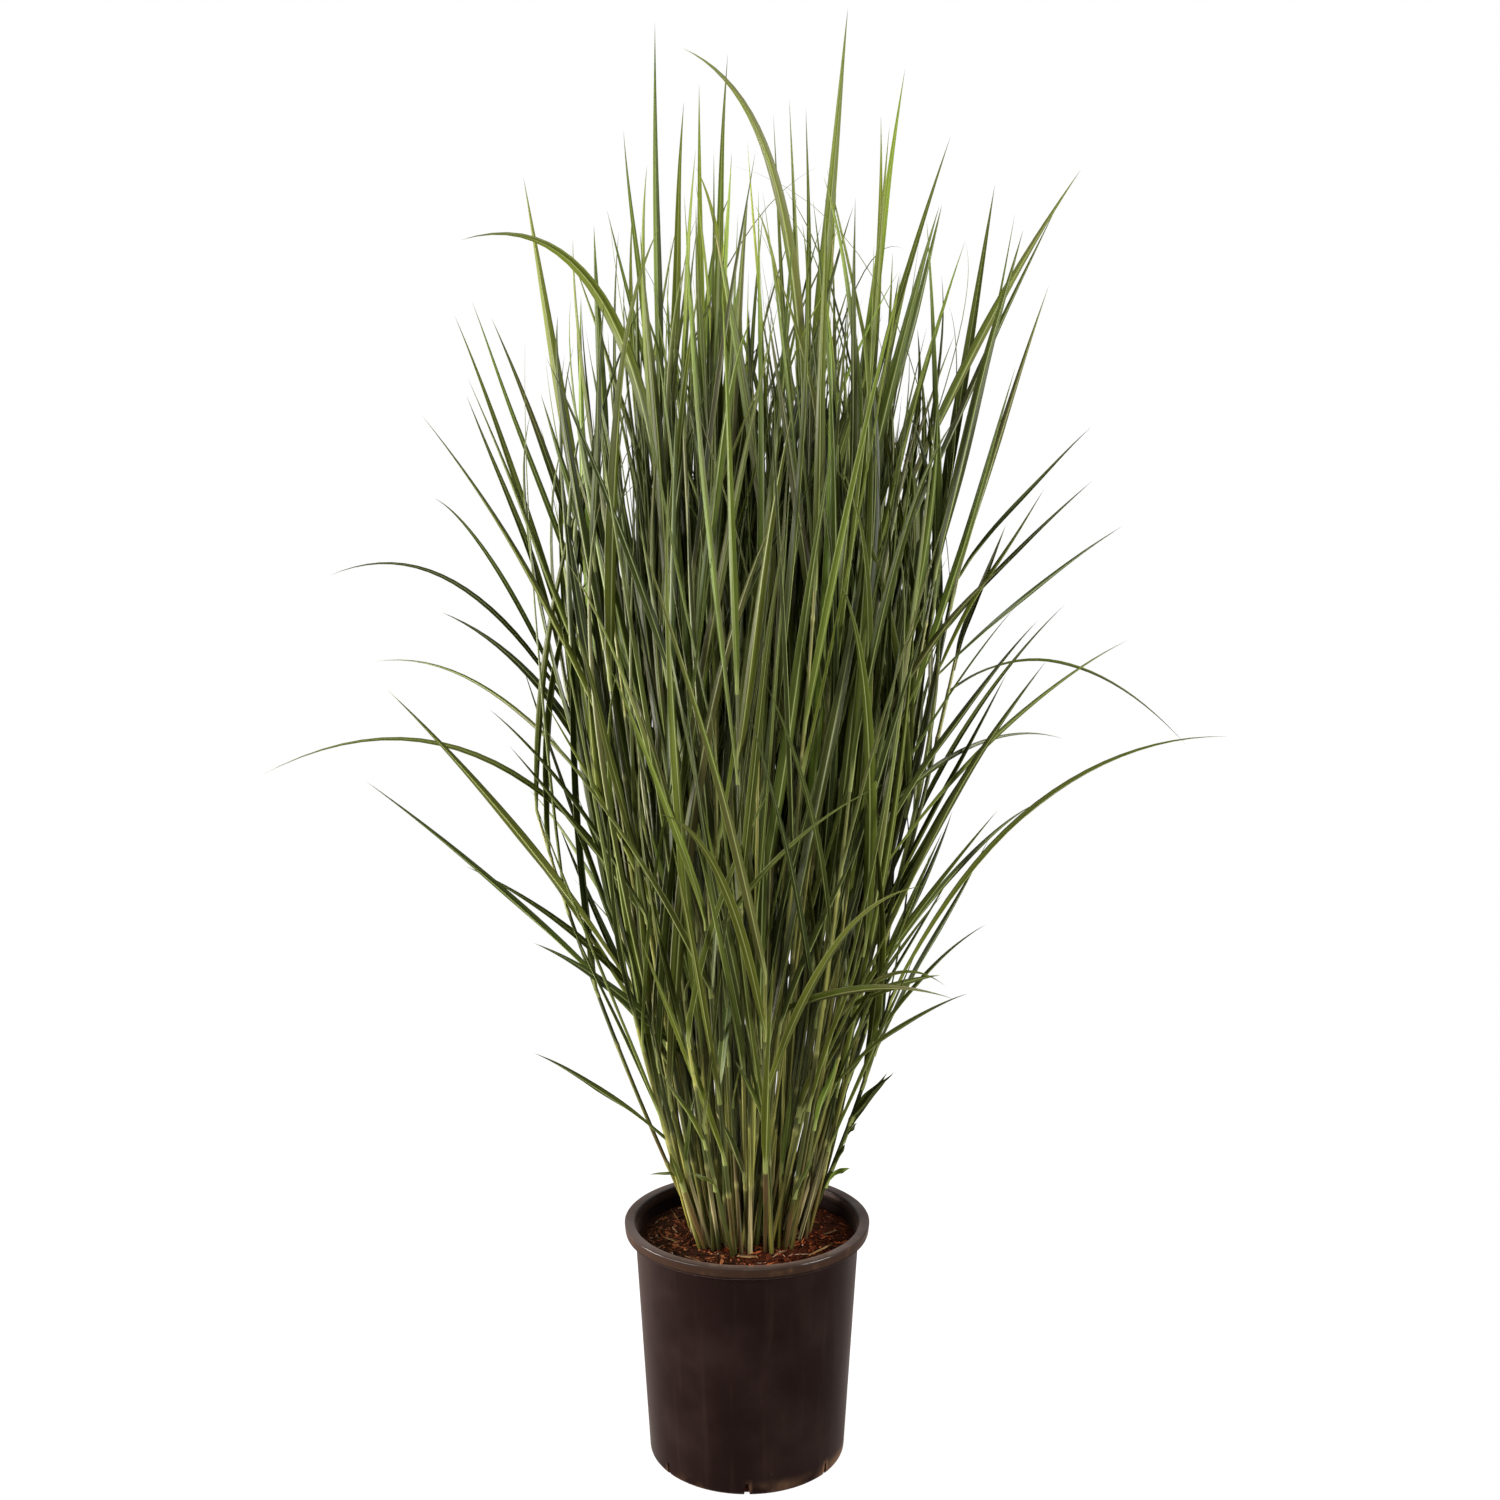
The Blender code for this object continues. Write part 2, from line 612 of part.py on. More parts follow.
def plan_clump():
    """Every tiller's stem curve, main azimuth and blades, all clear of each other."""
    draw = random.Random(SEED)
    clearance = Clearance()
    tops = [Vector(top) for top, _ in OUTLINE_TILLERS] + fill_tops(draw)
    feet = shared_feet(tops)
    culms = [place_culm(feet[index], tops[index], clearance, index, draw)
             for index in range(TILLER_COUNT)]
    tillers = []
    for index, (_, blades) in enumerate(OUTLINE_TILLERS):
        main = azimuth_of(Vector(blades[0][1]) - culms[index][2])
        azimuth = face_azimuth(main, culms[index][2])
        placed = [place_outline_blade(culms[index], blade, azimuth, clearance, index, draw)
                  for blade in blades]
        tillers.append((culms[index], main, placed))
    for index in range(len(OUTLINE_TILLERS), TILLER_COUNT):
        culm = culms[index]
        main = azimuth_of(culm[2])
        azimuth = face_azimuth(main, culm[2])
        placed = [place_fill_blade(culm, draw.uniform(*shares), azimuth, clearance, index, draw)
                  for shares in FILL_SHARES[:4 - index % 2]]
        tillers.append((culm, main, placed))
    return tillers


# The tillers' solids

def ring(bm, centre, across, outward, half_width, half_depth):
    corners = ((-1, 1), (1, 1), (1, -1), (-1, -1))
    return [bm.verts.new(centre + across * (half_width * side) + outward * (half_depth * out))
            for side, out in corners]


def join_rings(bm, lower, upper, skipped=()):
    """Two triangles a side. Both broad faces of a blade are split along parallel diagonals, so
    that a twisted blade keeps its thickness."""
    for side in range(4):
        if side in skipped:
            continue
        after = (side + 1) % 4
        if side == CROSSED_SIDE:
            bm.faces.new((lower[side], lower[after], upper[side]))
            bm.faces.new((lower[after], upper[after], upper[side]))
        else:
            bm.faces.new((lower[side], lower[after], upper[after]))
            bm.faces.new((lower[side], upper[after], upper[side]))


def add_blade(bm, first, sections, tip):
    """Grows a blade from four corners: the two of its underside, then the two above."""
    lower = first
    for centre, across, under, width in sections:
        upper = ring(bm, centre, across, under, width / 2, BLADE_THICKNESS / 2)
        join_rings(bm, lower, upper)
        lower = upper
    point = bm.verts.new(tip)
    for side in range(4):
        bm.faces.new((lower[side], lower[(side + 1) % 4], point))


def spaced_collars(blades, length):
    """Heights of the side blades' collars, moved apart where two would meet."""
    space = COLLAR_SPACE / length
    ceiling = 1 - space
    collars = []
    for share in sorted((blade[0] for blade in blades), reverse=True):
        ceiling = min(ceiling, share)
        collars.append(ceiling)
        ceiling -= space
    return collars


def build_tiller(name, culm, main, blades, material):
    bm = bmesh.new()
    length = (culm[2] - culm[0]).length
    end_blade = blades[0]
    side_blades = sorted(blades[1:], key=lambda blade: -blade[0])
    half = COLLAR_HEIGHT / 2 / length
    stations = [(0.0, None), (1.0, None)]
    for blade, collar in zip(side_blades, spaced_collars(side_blades, length)):
        stations += [(collar - half, blade), (collar + half, None)]
    for middle in CULM_MIDS:
        if all(abs(middle - share) > MID_SPACE for share, _ in stations):
            stations.append((middle, None))
    stations.sort(key=lambda station: station[0])

    azimuth = face_azimuth(main, culm[2])
    across_start = level_across(main)
    rings = []
    for share, _ in stations:
        direction = curve_direction(culm, share)
        across = square_to(across_start, direction)
        half_side = culm_radius(share) * math.sqrt(math.pi) / 2
        rings.append(ring(bm, curve_point(culm, share), across, across.cross(direction),
                          half_side, half_side))
    for corner in rings[0]:
        corner.co.z = culm[0].z
    bm.faces.new((rings[0][0], rings[0][1], rings[0][2]))
    bm.faces.new((rings[0][0], rings[0][2], rings[0][3]))
    for (_, blade), lower, upper in zip(stations, rings, rings[1:]):
        if blade is None:
            join_rings(bm, lower, upper)
            continue
        start = azimuth(blade[1])
        side = round((start - main) / (math.pi / 2)) % 4
        after = (side + 1) % 4
        join_rings(bm, lower, upper, skipped=(side,))
        sections, curve = blade_sections(culm, blade, start)
        add_blade(bm, [lower[side], lower[after], upper[after], upper[side]], sections, curve[2])
    sections, curve = blade_sections(culm, end_blade, azimuth(end_blade[1]))
    add_blade(bm, rings[-1], sections, curve[2])
    add_object(name, bm, material)


def build_clump():
    material = plain_material("grass", (0.085, 0.150, 0.055), 0.55)
    for index, (culm, main, blades) in enumerate(plan_clump()):
        build_tiller(f"tiller_{index + 1:02d}", culm, main, blades, material)


clear_scene()
build_pot()
build_soil()
build_clump()
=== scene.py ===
"""Looks of the potted switchgrass, laid out as a Blender add-on and run as a script.

Metres, +Z up, in the frame of the solid model: the origin is the centre of the pot's underside
and the viewer stands at -Y. Every solid tiller is grown again as a fine one: round stems with
nodes and sheaths, and thin folded blades that unroll from them. A thinner stem and more blades
grow beside each, so that the clump is as dense as the real one.
"""
import math
import random

import bmesh
import bpy
from bpy.props import FloatProperty, FloatVectorProperty, IntProperty, PointerProperty
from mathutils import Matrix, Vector, kdtree, noise


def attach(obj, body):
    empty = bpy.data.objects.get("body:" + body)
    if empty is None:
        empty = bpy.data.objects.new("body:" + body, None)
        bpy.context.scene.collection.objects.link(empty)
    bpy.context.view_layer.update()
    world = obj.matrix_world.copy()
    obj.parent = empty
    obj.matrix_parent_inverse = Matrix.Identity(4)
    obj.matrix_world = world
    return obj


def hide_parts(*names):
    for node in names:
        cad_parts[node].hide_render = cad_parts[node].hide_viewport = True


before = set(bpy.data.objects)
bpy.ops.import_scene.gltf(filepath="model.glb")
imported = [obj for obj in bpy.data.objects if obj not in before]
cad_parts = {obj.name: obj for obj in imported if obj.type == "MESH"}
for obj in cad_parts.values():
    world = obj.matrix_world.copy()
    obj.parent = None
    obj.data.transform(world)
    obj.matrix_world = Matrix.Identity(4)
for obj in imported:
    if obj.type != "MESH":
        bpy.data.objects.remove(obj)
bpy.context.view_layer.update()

bl_info = {
    "name": "Potted switchgrass",
    "version": (1, 0, 0),
    "blender": (4, 5, 0),
    "location": "3D View > Sidebar > Switchgrass",
    "description": "Grows a tall clump of switchgrass in a nursery pot around its solid model",
    "category": "Add Mesh",
}

# Pot, as in the solid model
POT_HEIGHT = 0.234
RIM_RADIUS = 0.120
FLANGE_WIDTH = 0.010
BAND_HEIGHT = 0.0115
BAND_TUCK = 0.0040
RIM_EDGE = 0.0010
RIM_ROUND = 0.0015
THROAT_DEPTH = 0.006
WALL_TOP_RADIUS = 0.1095
BASE_RADIUS = 0.0962
WALL = 0.0020
FLOOR = 0.0030
FOOT_ROUND = 0.005
SLOT_COUNT = 7
SLOT_HEIGHT = 0.013
SLOT_WIDTH = 0.006
SLOT_TOP_WIDTH = 0.0025
SLOT_DEPTH = 0.008

# Growing mix. The gap is between it and the pot, and between its level crown and the stems' feet.
GAP = 0.0003
SOIL_EDGE = 0.214
CROWN_HEIGHT = 0.2195
CROWN_RADIUS = 0.064
SOIL_RINGS = 46
SOIL_SPOKES = 120
SOIL_LUMP = 0.0022

# Litter on the mix: name, the setting that gives its number and the share of it, seed, half its
# greatest length, width and height, tilt, roughness and finish
LITTER_REACH = (0.012, 0.099)
LITTER_RINGS = 24
LITTER = (
    ("bark_crumbs", "chips", 1.0, 11, (0.0021, 0.0015, 0.0011), 1.2, 0.0014, "bark_chips"),
    ("bark_chips", "chips", 0.16, 12, (0.0070, 0.0027, 0.0009), 0.55, 0.0026, "bark_chips"),
    ("bark_strips", "chips", 0.08, 16, (0.0150, 0.0017, 0.0006), 0.42, 0.0030, "bark_chips"),
    ("coir_fibres", "fibres", 1.0, 13, (0.0140, 0.00042, 0.0004), 0.50, 0.0050, "bark_chips"),
    ("dry_fibres", "fibres", 0.09, 14, (0.0140, 0.0005, 0.0005), 0.40, 0.0030, "dry_straw"),
    ("perlite_grains", "grains", 1.0, 15, (0.0010, 0.0009, 0.0008), 1.5, 0.0008, "perlite"),
)

# Litter that isn't bark: its two colours and how fine its spots are
PLAIN_LITTER = {
    "dry_straw": ((0.24, 0.14, 0.075), (0.46, 0.30, 0.18), 300.0),
    "perlite": ((0.62, 0.60, 0.55), (0.80, 0.79, 0.75), 500.0),
    "dead_leaf": ((0.20, 0.105, 0.035), (0.40, 0.24, 0.085), 160.0),
}

# Dry leaves and straws that lie on the mix: ends and width
FALLEN_RINGS = 12
FALLEN_LIFT = 0.0012
FALLEN = [
    ((-0.0095, -0.0640, 0.2215), (0.0110, -0.0660, 0.2212), 0.0062),
    ((-0.0905, -0.0460, 0.2180), (-0.0790, -0.0330, 0.2200), 0.0012),
    ((-0.0760, 0.0230, 0.2330), (-0.0640, 0.0120, 0.2190), 0.0010),
    ((0.0580, -0.0590, 0.2195), (0.0830, -0.0300, 0.2190), 0.0034),
    ((0.0700, -0.0120, 0.2190), (0.0900, 0.0050, 0.2185), 0.0028),
    ((-0.0820, -0.0130, 0.2190), (-0.0660, -0.0270, 0.2190), 0.0030),
    ((-0.0620, -0.0560, 0.2190), (-0.0420, -0.0710, 0.2185), 0.0018),
]

# Clump, as in the solid model
TILLER_COUNT = 56
FEET_RADIUS = 0.058
FAN_HEIGHT = 0.45
CULM_RADIUS = 0.0025
CULM_TOP_RADIUS = 0.0017
CULM_BOW = (0.62, 0.50)

# Blades
BLADE_ROOT_LEAN = 0.22
ARCHED = 0.30
PLAIN_STATIONS = (0.08, 0.42, 0.78)
ARCHED_STATIONS = (0.08, 0.30, 0.52, 0.72, 0.88)
ROOT_WIDTH = 0.62
WIDTH_SWELL = 0.28
TAPER = 1.7
TWIST_SHARE = 0.5
SHOWN_SHARE = 0.75
LOOSE_TWIST = 1.2

# Clearance between neighbouring tillers
SAMPLE_STEP = 0.0035
CLEAR = 0.0044
OWN_CLEAR = 0.0026
OWN_ROOT = 0.030
OUTLINE_TRIES = 80
DEPTH_SLIP = 0.16
TIP_SLIP = 0.02
ROOT_SLIP = 0.08
CULM_SLIP = 0.002
REDRAWS = 120
SHRINK = 0.5

# What the front view shows of the clump's body: an ellipse seen by a viewer at -Y
VIEWER_DISTANCE = 1.57
VIEWER_HEIGHT = 0.88
BODY_MIDDLE = 0.80
BODY_REACH = 0.23
BODY_RISE = 0.46

# How fast the fan of stems widens with height
FAN_SLOPE = 0.22

SEED = 20
GOLDEN_ANGLE = math.pi * (3 - math.sqrt(5))

# Fine growth
FINE_SEED = 700
NODE_SPACE = 0.165
NODE_START = (0.05, 0.14)
NODE_SWELL = 0.0006
NODE_LENGTH = 0.0026
SHEATH = 0.0003
SHEATH_LENGTH = 0.16
STEM_STEP = 0.024
NODE_STATIONS = (-0.0045, -0.002, 0.0, 0.0025, 0.006)
COLLAR_STATIONS = (-0.0008, 0.0012)
LEAST_STEP = 0.0006
LAST_NODE = 0.03
SPEAR = 0.040
SPEAR_PARTS = (0.35, 0.7, 1.0)
SPEAR_TIP = 0.0003
UNROLL = 0.028
SHEATH_MOUTH = 0.010
UNROLL_SHARE = 0.25
UNROLL_STATIONS = 4
RIB_NARROWNESS = 5.0
RIB_RISE = 0.9
FULL_THICKNESS_HALF_WIDTH = 1 / 600.0
FILL_SLIM = ((0.45, 0.50), (0.75, 0.70), (1.0, 0.85))
BROAD_BLADE = (0.0090, 0.0145)
NARROW_BLADE = (0.0040, 0.0080)
BROAD_SHARE = 0.65
TIP_DRAWS = 40
TIP_SHRINK = 0.96
LOOSE_SHARES = ((0.68, 0.90), (0.50, 0.72))
LOOSE_LENGTH = (0.40, 0.70)
LOOSE_TURN = 1.2
LOOSE_KEPT_LEAN = (0.3, 1.15)
LOOSE_LEAN = 9
LEAST_LEAN = 2
LOOSE_ARCHES = (0.12, 0.20, 0.32, 0.45, 0.60)
SIDE_LENGTH = (0.18, 0.32)
SIDE_BLADE = (0.0060, 0.0115)
SIDE_SHARES = (0.26, 0.52)
SIDE_TURN = 0.45
SIDE_LEAN = (8, 26)
SIDE_ARCHES = (0.15, 0.25, 0.35)
SIDE_REACH = 0.25
SIDE_SLOPE = 0.58
FINE_TAPER = 1.3
WHISKER = (0.0014, 0.0024)
WHISKER_SHARES = (0.9, 0.99)
WHISKER_LENGTH = (0.24, 0.44)
WHISKER_LEAN = (8, 42)
WHISKER_ARCH = (0.3, 0.8)
FOLDS = (0.20, 0.70)
MAIN_STEM = 0.92
THIN_STEMS = ((0.82, (0.90, 0.75, 0.60)), (0.72, (0.86, 0.66)))
THIN_STEM_SPACE = 0.0062
THIN_COLLARS = [0.55, 0.85]
THIN_SHARE_SLIP = 0.03
THIN_INWARD = (0.6, 0.95)
THIN_DRIFT = 0.014
THIN_LOWERING = (0.9, 1.0)
FEET_MARGIN = 0.003
WHISKER_EVERY = 2
CELL = 0.0045
CROWDED_FROM = 5
BLADE_TRIES = 5
STEM_TRIES = 6
CLUMP_REACH = 0.169
CLUMP_TOPS = (1.01, 1.26)
CLUMP_WIDENING = 1.4
CLUMP_SQUARENESS = 3.0
THIN_RISE = (0.65, 1.15)
THIN_HIGHEST = 0.88
WHISKER_TOP = 1.30
SWAY = 0.0018
SWAY_TURNS = (5, 4)

# What colours a blade: shares of blades, then ranges of tint, from dark to lime, and of age. The
# usual tint is a mean and a spread.
YOUNG_SHARE = 0.05
BRONZE_SHARE = 0.16
WITHERED_SHARE = 0.03
USUAL_TINT = (0.38, 0.26)
OUTLINE_TINT = (0.20, 0.60)
YOUNG_TINT = (0.80, 0.95)
FRESH_AGE = (0, 0.12)
BRONZE_AGE = (0.16, 0.24)
WITHERED_AGE = (0.5, 1.0)

# Short leaves low on the stems, as seen from the front on an upright plane through the stems'
# feet: where each leaves its stem and where it ends, as (x, z), and how far it comes forward.
LOW_PLANE = -0.06
LOW_ARCH = 0.15
LOW_STEPS = 60
LOW_DEPTH_WEIGHT = 0.2
LOW_LEAVES = [
    ((0.0976, 0.3603), (0.1309, 0.3990), 0.010, 0.0085, 0.30),
    ((0.0930, 0.3419), (0.1033, 0.3507), 0.000, 0.0045, 0.10),
    ((0.0773, 0.2962), (0.0970, 0.3069), 0.005, 0.0105, 0.93),
    ((0.0857, 0.3137), (0.0921, 0.3303), 0.012, 0.0065, 0.30),
    ((-0.0686, 0.2991), (-0.0922, 0.3001), 0.000, 0.0035, 0.15),
    ((0.0451, 0.3652), (0.0737, 0.4297), 0.020, 0.0120, 0.66),
    ((0.0620, 0.3560), (0.0840, 0.4140), 0.016, 0.0095, 0.93),
    ((-0.0348, 0.2913), (-0.0541, 0.3016), 0.008, 0.0065, 0.20),
    ((-0.0440, 0.3342), (-0.0803, 0.3999), 0.010, 0.0090, 0.20),
    ((0.0123, 0.3536), (-0.0111, 0.4115), 0.012, 0.0080, 0.35),
    ((0.0940, 0.4631), (0.1801, 0.4926), -0.010, 0.0090, 0.50),
    ((-0.0046, 0.3030), (-0.0290, 0.3613), 0.016, 0.0085, 0.45),
    ((0.0406, 0.2903), (0.0640, 0.3244), 0.010, 0.0065, 0.30),
    ((0.0300, 0.3100), (0.0420, 0.3900), 0.008, 0.0080, 0.55),
    ((-0.0560, 0.3150), (-0.0480, 0.3800), 0.010, 0.0075, 0.30),
]

# Camera
LENS = 39.97
SENSOR = 36.0
CAMERA_PLACE = (0.0029, -1.571, 0.879)
CAMERA_PITCH = 6.65
FLOOR_REACH = 1.2

# Lights, each with the power that the settings hold under its name: size, place, colour and the
# height on the axis that it is aimed at
LIGHTS = {
    "left": (1.4, (-2.2, -1.3, 0.95), (1.0, 0.985, 0.955), 0.5),
    "right": (1.4, (2.2, -1.1, 0.85), (1.0, 0.985, 0.96), 0.5),
    "front": (1.5, (0.3, -3.0, 1.5), (1.0, 0.99, 0.97), 0.5),
    "low": (0.8, (-1.7, 0.0, 0.4), (1.0, 0.95, 0.90), 0.15),
}

# Colours of the pot's plastic that the settings don't hold, with a painted shadow for the tuck
# under the rim band and a lighter rim edge that is partly wear and partly a painted highlight
CLOUDED = (0.0115, 0.0062, 0.0057)
RUN = (0.032, 0.019, 0.015)
BROWN_BAND = (0.029, 0.0155, 0.0095)
DARK_FLANGE = (0.0085, 0.0052, 0.0042)
SHADED_TUCK = (0.0030, 0.0018, 0.0015)
WORN_AND_HIGHLIT_EDGE = (0.12, 0.080, 0.062)
SCUFF = (0.12, 0.09, 0.075)

# Colours of bark between the settings' own, and tints of fine and coarse bark, dull and red
DARK_RED_BARK = (0.048, 0.018, 0.007)
TAN_BARK = (0.23, 0.105, 0.042)
FINE_BARK_TINTS = ((0.94, 0.86, 0.80), (1.45, 0.84, 0.62))
CHIP_TINTS = ((1.22, 0.94, 0.84), (1.62, 0.86, 0.64))

# Colours of blades and stems that the settings don't hold
BLADE_HUES = ((0.92, 1.0, 1.02), (1.08, 1.0, 0.76))
BRONZE = (0.085, 0.064, 0.032)
MIDRIB = (0.30, 0.34, 0.12)
MARGIN = (0.22, 0.22, 0.08)
COLLAR = (0.30, 0.33, 0.11)
BLADE_GLOW = (0.22, 0.30, 0.035)
DARK_STEM = (0.080, 0.094, 0.010)
PALE_STEM = (0.470, 0.460, 0.100)
# Darkens and browns the stems near the ground: partly their own browner feet, partly painted shade.
FOOT_SHADE_AND_TINT = (0.66, 0.56, 0.34)
STEM_PATCH = (0.050, 0.066, 0.016)
STEM_NODE = (0.36, 0.34, 0.11)
UNTINTED = (1.0, 1.0, 1.0)

# The tillers that shape the outline seen from the front: the top of the stem, then its blades.
# A blade is (share of the stem's height, tip, arch, width), and the first one ends the stem.
OUTLINE_TILLERS = [
    ((-0.102, -0.020, 0.458), [(1.00, (-0.329, -0.050, 0.757), 0.12, 0.014),
                               (0.90, (-0.343, -0.090, 0.679), 0.10, 0.011),
                               (0.42, (-0.203, -0.030, 0.409), 0.15, 0.010)]),
    ((-0.093, 0.010, 0.549), [(1.00, (-0.290, 0.020, 0.826), 0.45, 0.012),
                              (0.93, (-0.455, 0.030, 0.672), 0.62, 0.007),
                              (0.60, (-0.260, -0.060, 0.595), 0.25, 0.008)]),
    ((-0.095, -0.015, 0.621), [(1.00, (-0.280, -0.060, 0.995), 0.20, 0.010),
                               (0.90, (-0.383, 0.060, 0.758), 0.50, 0.006),
                               (0.72, (-0.216, -0.050, 0.713), 0.10, 0.010)]),
    ((-0.151, 0.020, 0.722), [(1.00, (-0.278, 0.050, 1.106), 0.20, 0.009),
                              (0.93, (-0.393, 0.000, 0.860), 0.75, 0.006)]),
    ((-0.180, 0.030, 0.789), [(1.00, (-0.275, 0.090, 1.035), 0.15, 0.008),
                              (0.90, (-0.315, 0.120, 0.937), 0.50, 0.006)]),
    ((-0.144, -0.020, 0.838), [(1.00, (-0.196, -0.060, 1.209), 0.15, 0.014),
                               (0.94, (-0.258, 0.030, 1.116), 0.30, 0.006),
                               (0.80, (-0.242, -0.100, 1.033), 0.20, 0.007)]),
    ((-0.142, 0.040, 0.817), [(1.00, (-0.254, 0.120, 1.114), 0.15, 0.009),
                              (0.75, (-0.220, 0.140, 0.900), 0.25, 0.010)]),
    ((-0.128, -0.030, 0.948), [(1.00, (-0.131, -0.100, 1.161), 0.10, 0.010),
                               (0.75, (-0.180, -0.090, 1.020), 0.15, 0.011)]),
    ((-0.074, -0.050, 0.875), [(1.00, (-0.236, -0.140, 1.135), 1.00, 0.014),
                               (0.70, (-0.120, -0.180, 0.960), 0.20, 0.012)]),
    ((-0.080, -0.010, 1.003), [(1.00, (-0.082, -0.020, 1.352), 0.10, 0.010),
                               (0.93, (-0.116, 0.050, 1.276), 0.10, 0.008),
                               (0.86, (-0.154, -0.080, 1.143), 0.10, 0.006)]),
    ((-0.071, 0.030, 0.997), [(1.00, (-0.061, 0.100, 1.315), 0.10, 0.010),
                              (0.92, (-0.140, 0.140, 1.222), 0.20, 0.008),
                              (0.80, (-0.079, 0.110, 1.150), 0.10, 0.009)]),
    ((-0.041, 0.050, 0.980), [(1.00, (-0.048, 0.160, 1.348), 0.20, 0.009),
                              (0.75, (-0.060, 0.180, 1.100), 0.15, 0.011)]),
    ((-0.032, 0.000, 1.004), [(1.00, (-0.018, 0.060, 1.348), 0.10, 0.009),
                              (0.78, (-0.020, -0.070, 1.190), 0.10, 0.012)]),
    ((-0.068, -0.070, 0.804), [(1.00, (-0.087, -0.170, 1.143), 0.15, 0.013),
                               (0.28, (-0.199, -0.120, 0.515), 0.25, 0.012)]),
    ((0.138, 0.000, 0.453), [(1.00, (0.448, -0.030, 0.712), 0.50, 0.010),
                             (0.80, (0.240, 0.060, 0.600), 0.15, 0.009),
                             (0.50, (0.140, -0.030, 0.390), 0.10, 0.008)]),
    ((0.122, -0.020, 0.497), [(1.00, (0.274, -0.050, 0.784), 0.20, 0.012),
                              (0.90, (0.280, 0.020, 0.642), 0.40, 0.008),
                              (0.60, (0.220, -0.070, 0.543), 0.35, 0.007)]),
    ((0.130, 0.020, 0.547), [(1.00, (0.322, 0.060, 0.827), 0.30, 0.007),
                             (0.90, (0.202, -0.020, 0.673), 0.10, 0.012),
                             (0.55, (0.200, 0.110, 0.600), 0.20, 0.009)]),
    ((0.120, -0.040, 0.605), [(1.00, (0.260, -0.070, 0.823), 0.15, 0.010),
                              (0.92, (0.359, 0.000, 0.800), 0.30, 0.007),
                              (0.40, (0.201, -0.100, 0.486), 0.25, 0.008)]),
    ((0.118, -0.060, 0.710), [(1.00, (0.233, -0.110, 0.878), 0.25, 0.009),
                              (0.80, (0.309, 0.050, 0.701), 0.45, 0.006),
                              (0.40, (0.175, -0.140, 0.503), 0.65, 0.009)]),
    ((0.199, 0.020, 0.780), [(1.00, (0.250, 0.050, 0.909), 0.10, 0.009),
                             (0.95, (0.426, 0.030, 0.696), 0.42, 0.006)]),
    ((0.195, 0.000, 0.856), [(1.00, (0.320, 0.000, 0.998), 0.10, 0.007),
                             (0.93, (0.310, -0.060, 0.946), 0.10, 0.006),
                             (0.86, (0.365, 0.060, 0.908), 0.10, 0.007)]),
    ((0.190, -0.030, 0.838), [(1.00, (0.269, -0.050, 1.118), 0.10, 0.010),
                              (0.90, (0.262, -0.090, 0.938), 0.15, 0.007)]),
    ((0.172, -0.050, 0.866), [(1.00, (0.239, -0.090, 1.159), 0.10, 0.013),
                              (0.80, (0.230, -0.120, 1.040), 0.10, 0.010)]),
    ((0.180, 0.040, 0.875), [(1.00, (0.238, 0.080, 1.233), 0.10, 0.013),
                             (0.90, (0.264, 0.120, 1.214), 0.10, 0.007)]),
    ((0.145, -0.020, 0.930), [(1.00, (0.290, -0.080, 1.212), 0.15, 0.012),
                              (0.93, (0.282, -0.010, 1.195), 0.15, 0.009)]),
    ((0.107, -0.050, 0.929), [(1.00, (0.163, -0.120, 1.173), 0.12, 0.012),
                              (0.92, (0.194, -0.050, 1.157), 0.12, 0.009),
                              (0.80, (0.161, -0.150, 1.080), 0.15, 0.008)]),
    ((0.115, 0.030, 1.010), [(1.00, (0.195, 0.080, 1.278), 0.10, 0.008),
                             (0.90, (0.126, 0.050, 1.291), 0.20, 0.009)]),
    ((0.100, 0.000, 0.976), [(1.00, (0.148, 0.050, 1.332), 0.10, 0.011),
                             (0.90, (0.125, -0.060, 1.253), 0.10, 0.009)]),
    ((0.059, -0.020, 0.993), [(1.00, (0.088, -0.060, 1.352), 0.10, 0.013),
                              (0.93, (0.055, 0.040, 1.294), 0.10, 0.007),
                              (0.85, (0.036, -0.110, 1.263), 0.10, 0.009)]),
    ((0.050, -0.070, 0.985), [(1.00, (-0.052, -0.160, 1.289), 0.70, 0.012),
                              (0.90, (0.030, -0.020, 1.280), 0.10, 0.007),
                              (0.24, (0.186, -0.120, 0.512), 0.20, 0.013)]),
]

# The tillers that round the clump out: angles in degrees about the axis, heights of the stems'
# tops, and how far those tops are from the axis. The core ones stand near the axis.
FILL_FRONT = (-155, -25)
FILL_BACK = (25, 155)
FILL_TURN = 4
FILL_HEIGHTS = (0.50, 0.88, 0.66, 0.97, 0.58, 0.80)
FILL_RISE = 0.03
FILL_NEAR = 0.105
FILL_SPREAD = 0.07
FILL_FULL_HEIGHT = 0.8
CORE_COUNT = 4
CORE_REACH = 0.035
CORE_TURN = 0.6
CORE_LOWEST = 0.84
CORE_STEP = 0.04

# Their blades: where each leaves its stem, lengths, and angles in degrees above the horizontal
FILL_SHARES = ((1.0, 1.0), (0.80, 0.90), (0.50, 0.70), (0.38, 0.44))
LONG_BLADE = (0.30, 0.48)
SHORT_BLADE = (0.18, 0.28)
BLADE_WIDTHS = (0.008, 0.013)
SIDE_SPREAD = 0.6
STEEPNESS = (40, 66)
HIGH_STEEPENING = 28
STEEPEST = 84
ARCHES = (0.10, 0.15, 0.25, 0.50)


# Settings

def paint(name, description, colour):
    """A colour among the settings."""
    return FloatVectorProperty(name=name, description=description, subtype="COLOR",
                               default=colour)


class PotSettings(bpy.types.PropertyGroup):
    sides: IntProperty(name="Sides", description="Faces around the pot", default=144, min=24)
    colour: paint("Plastic", "Colour of the pot's plastic", (0.0062, 0.0029, 0.0027))
    dust: paint("Dust", "Colour of dried soil on the plastic", (0.16, 0.085, 0.045))


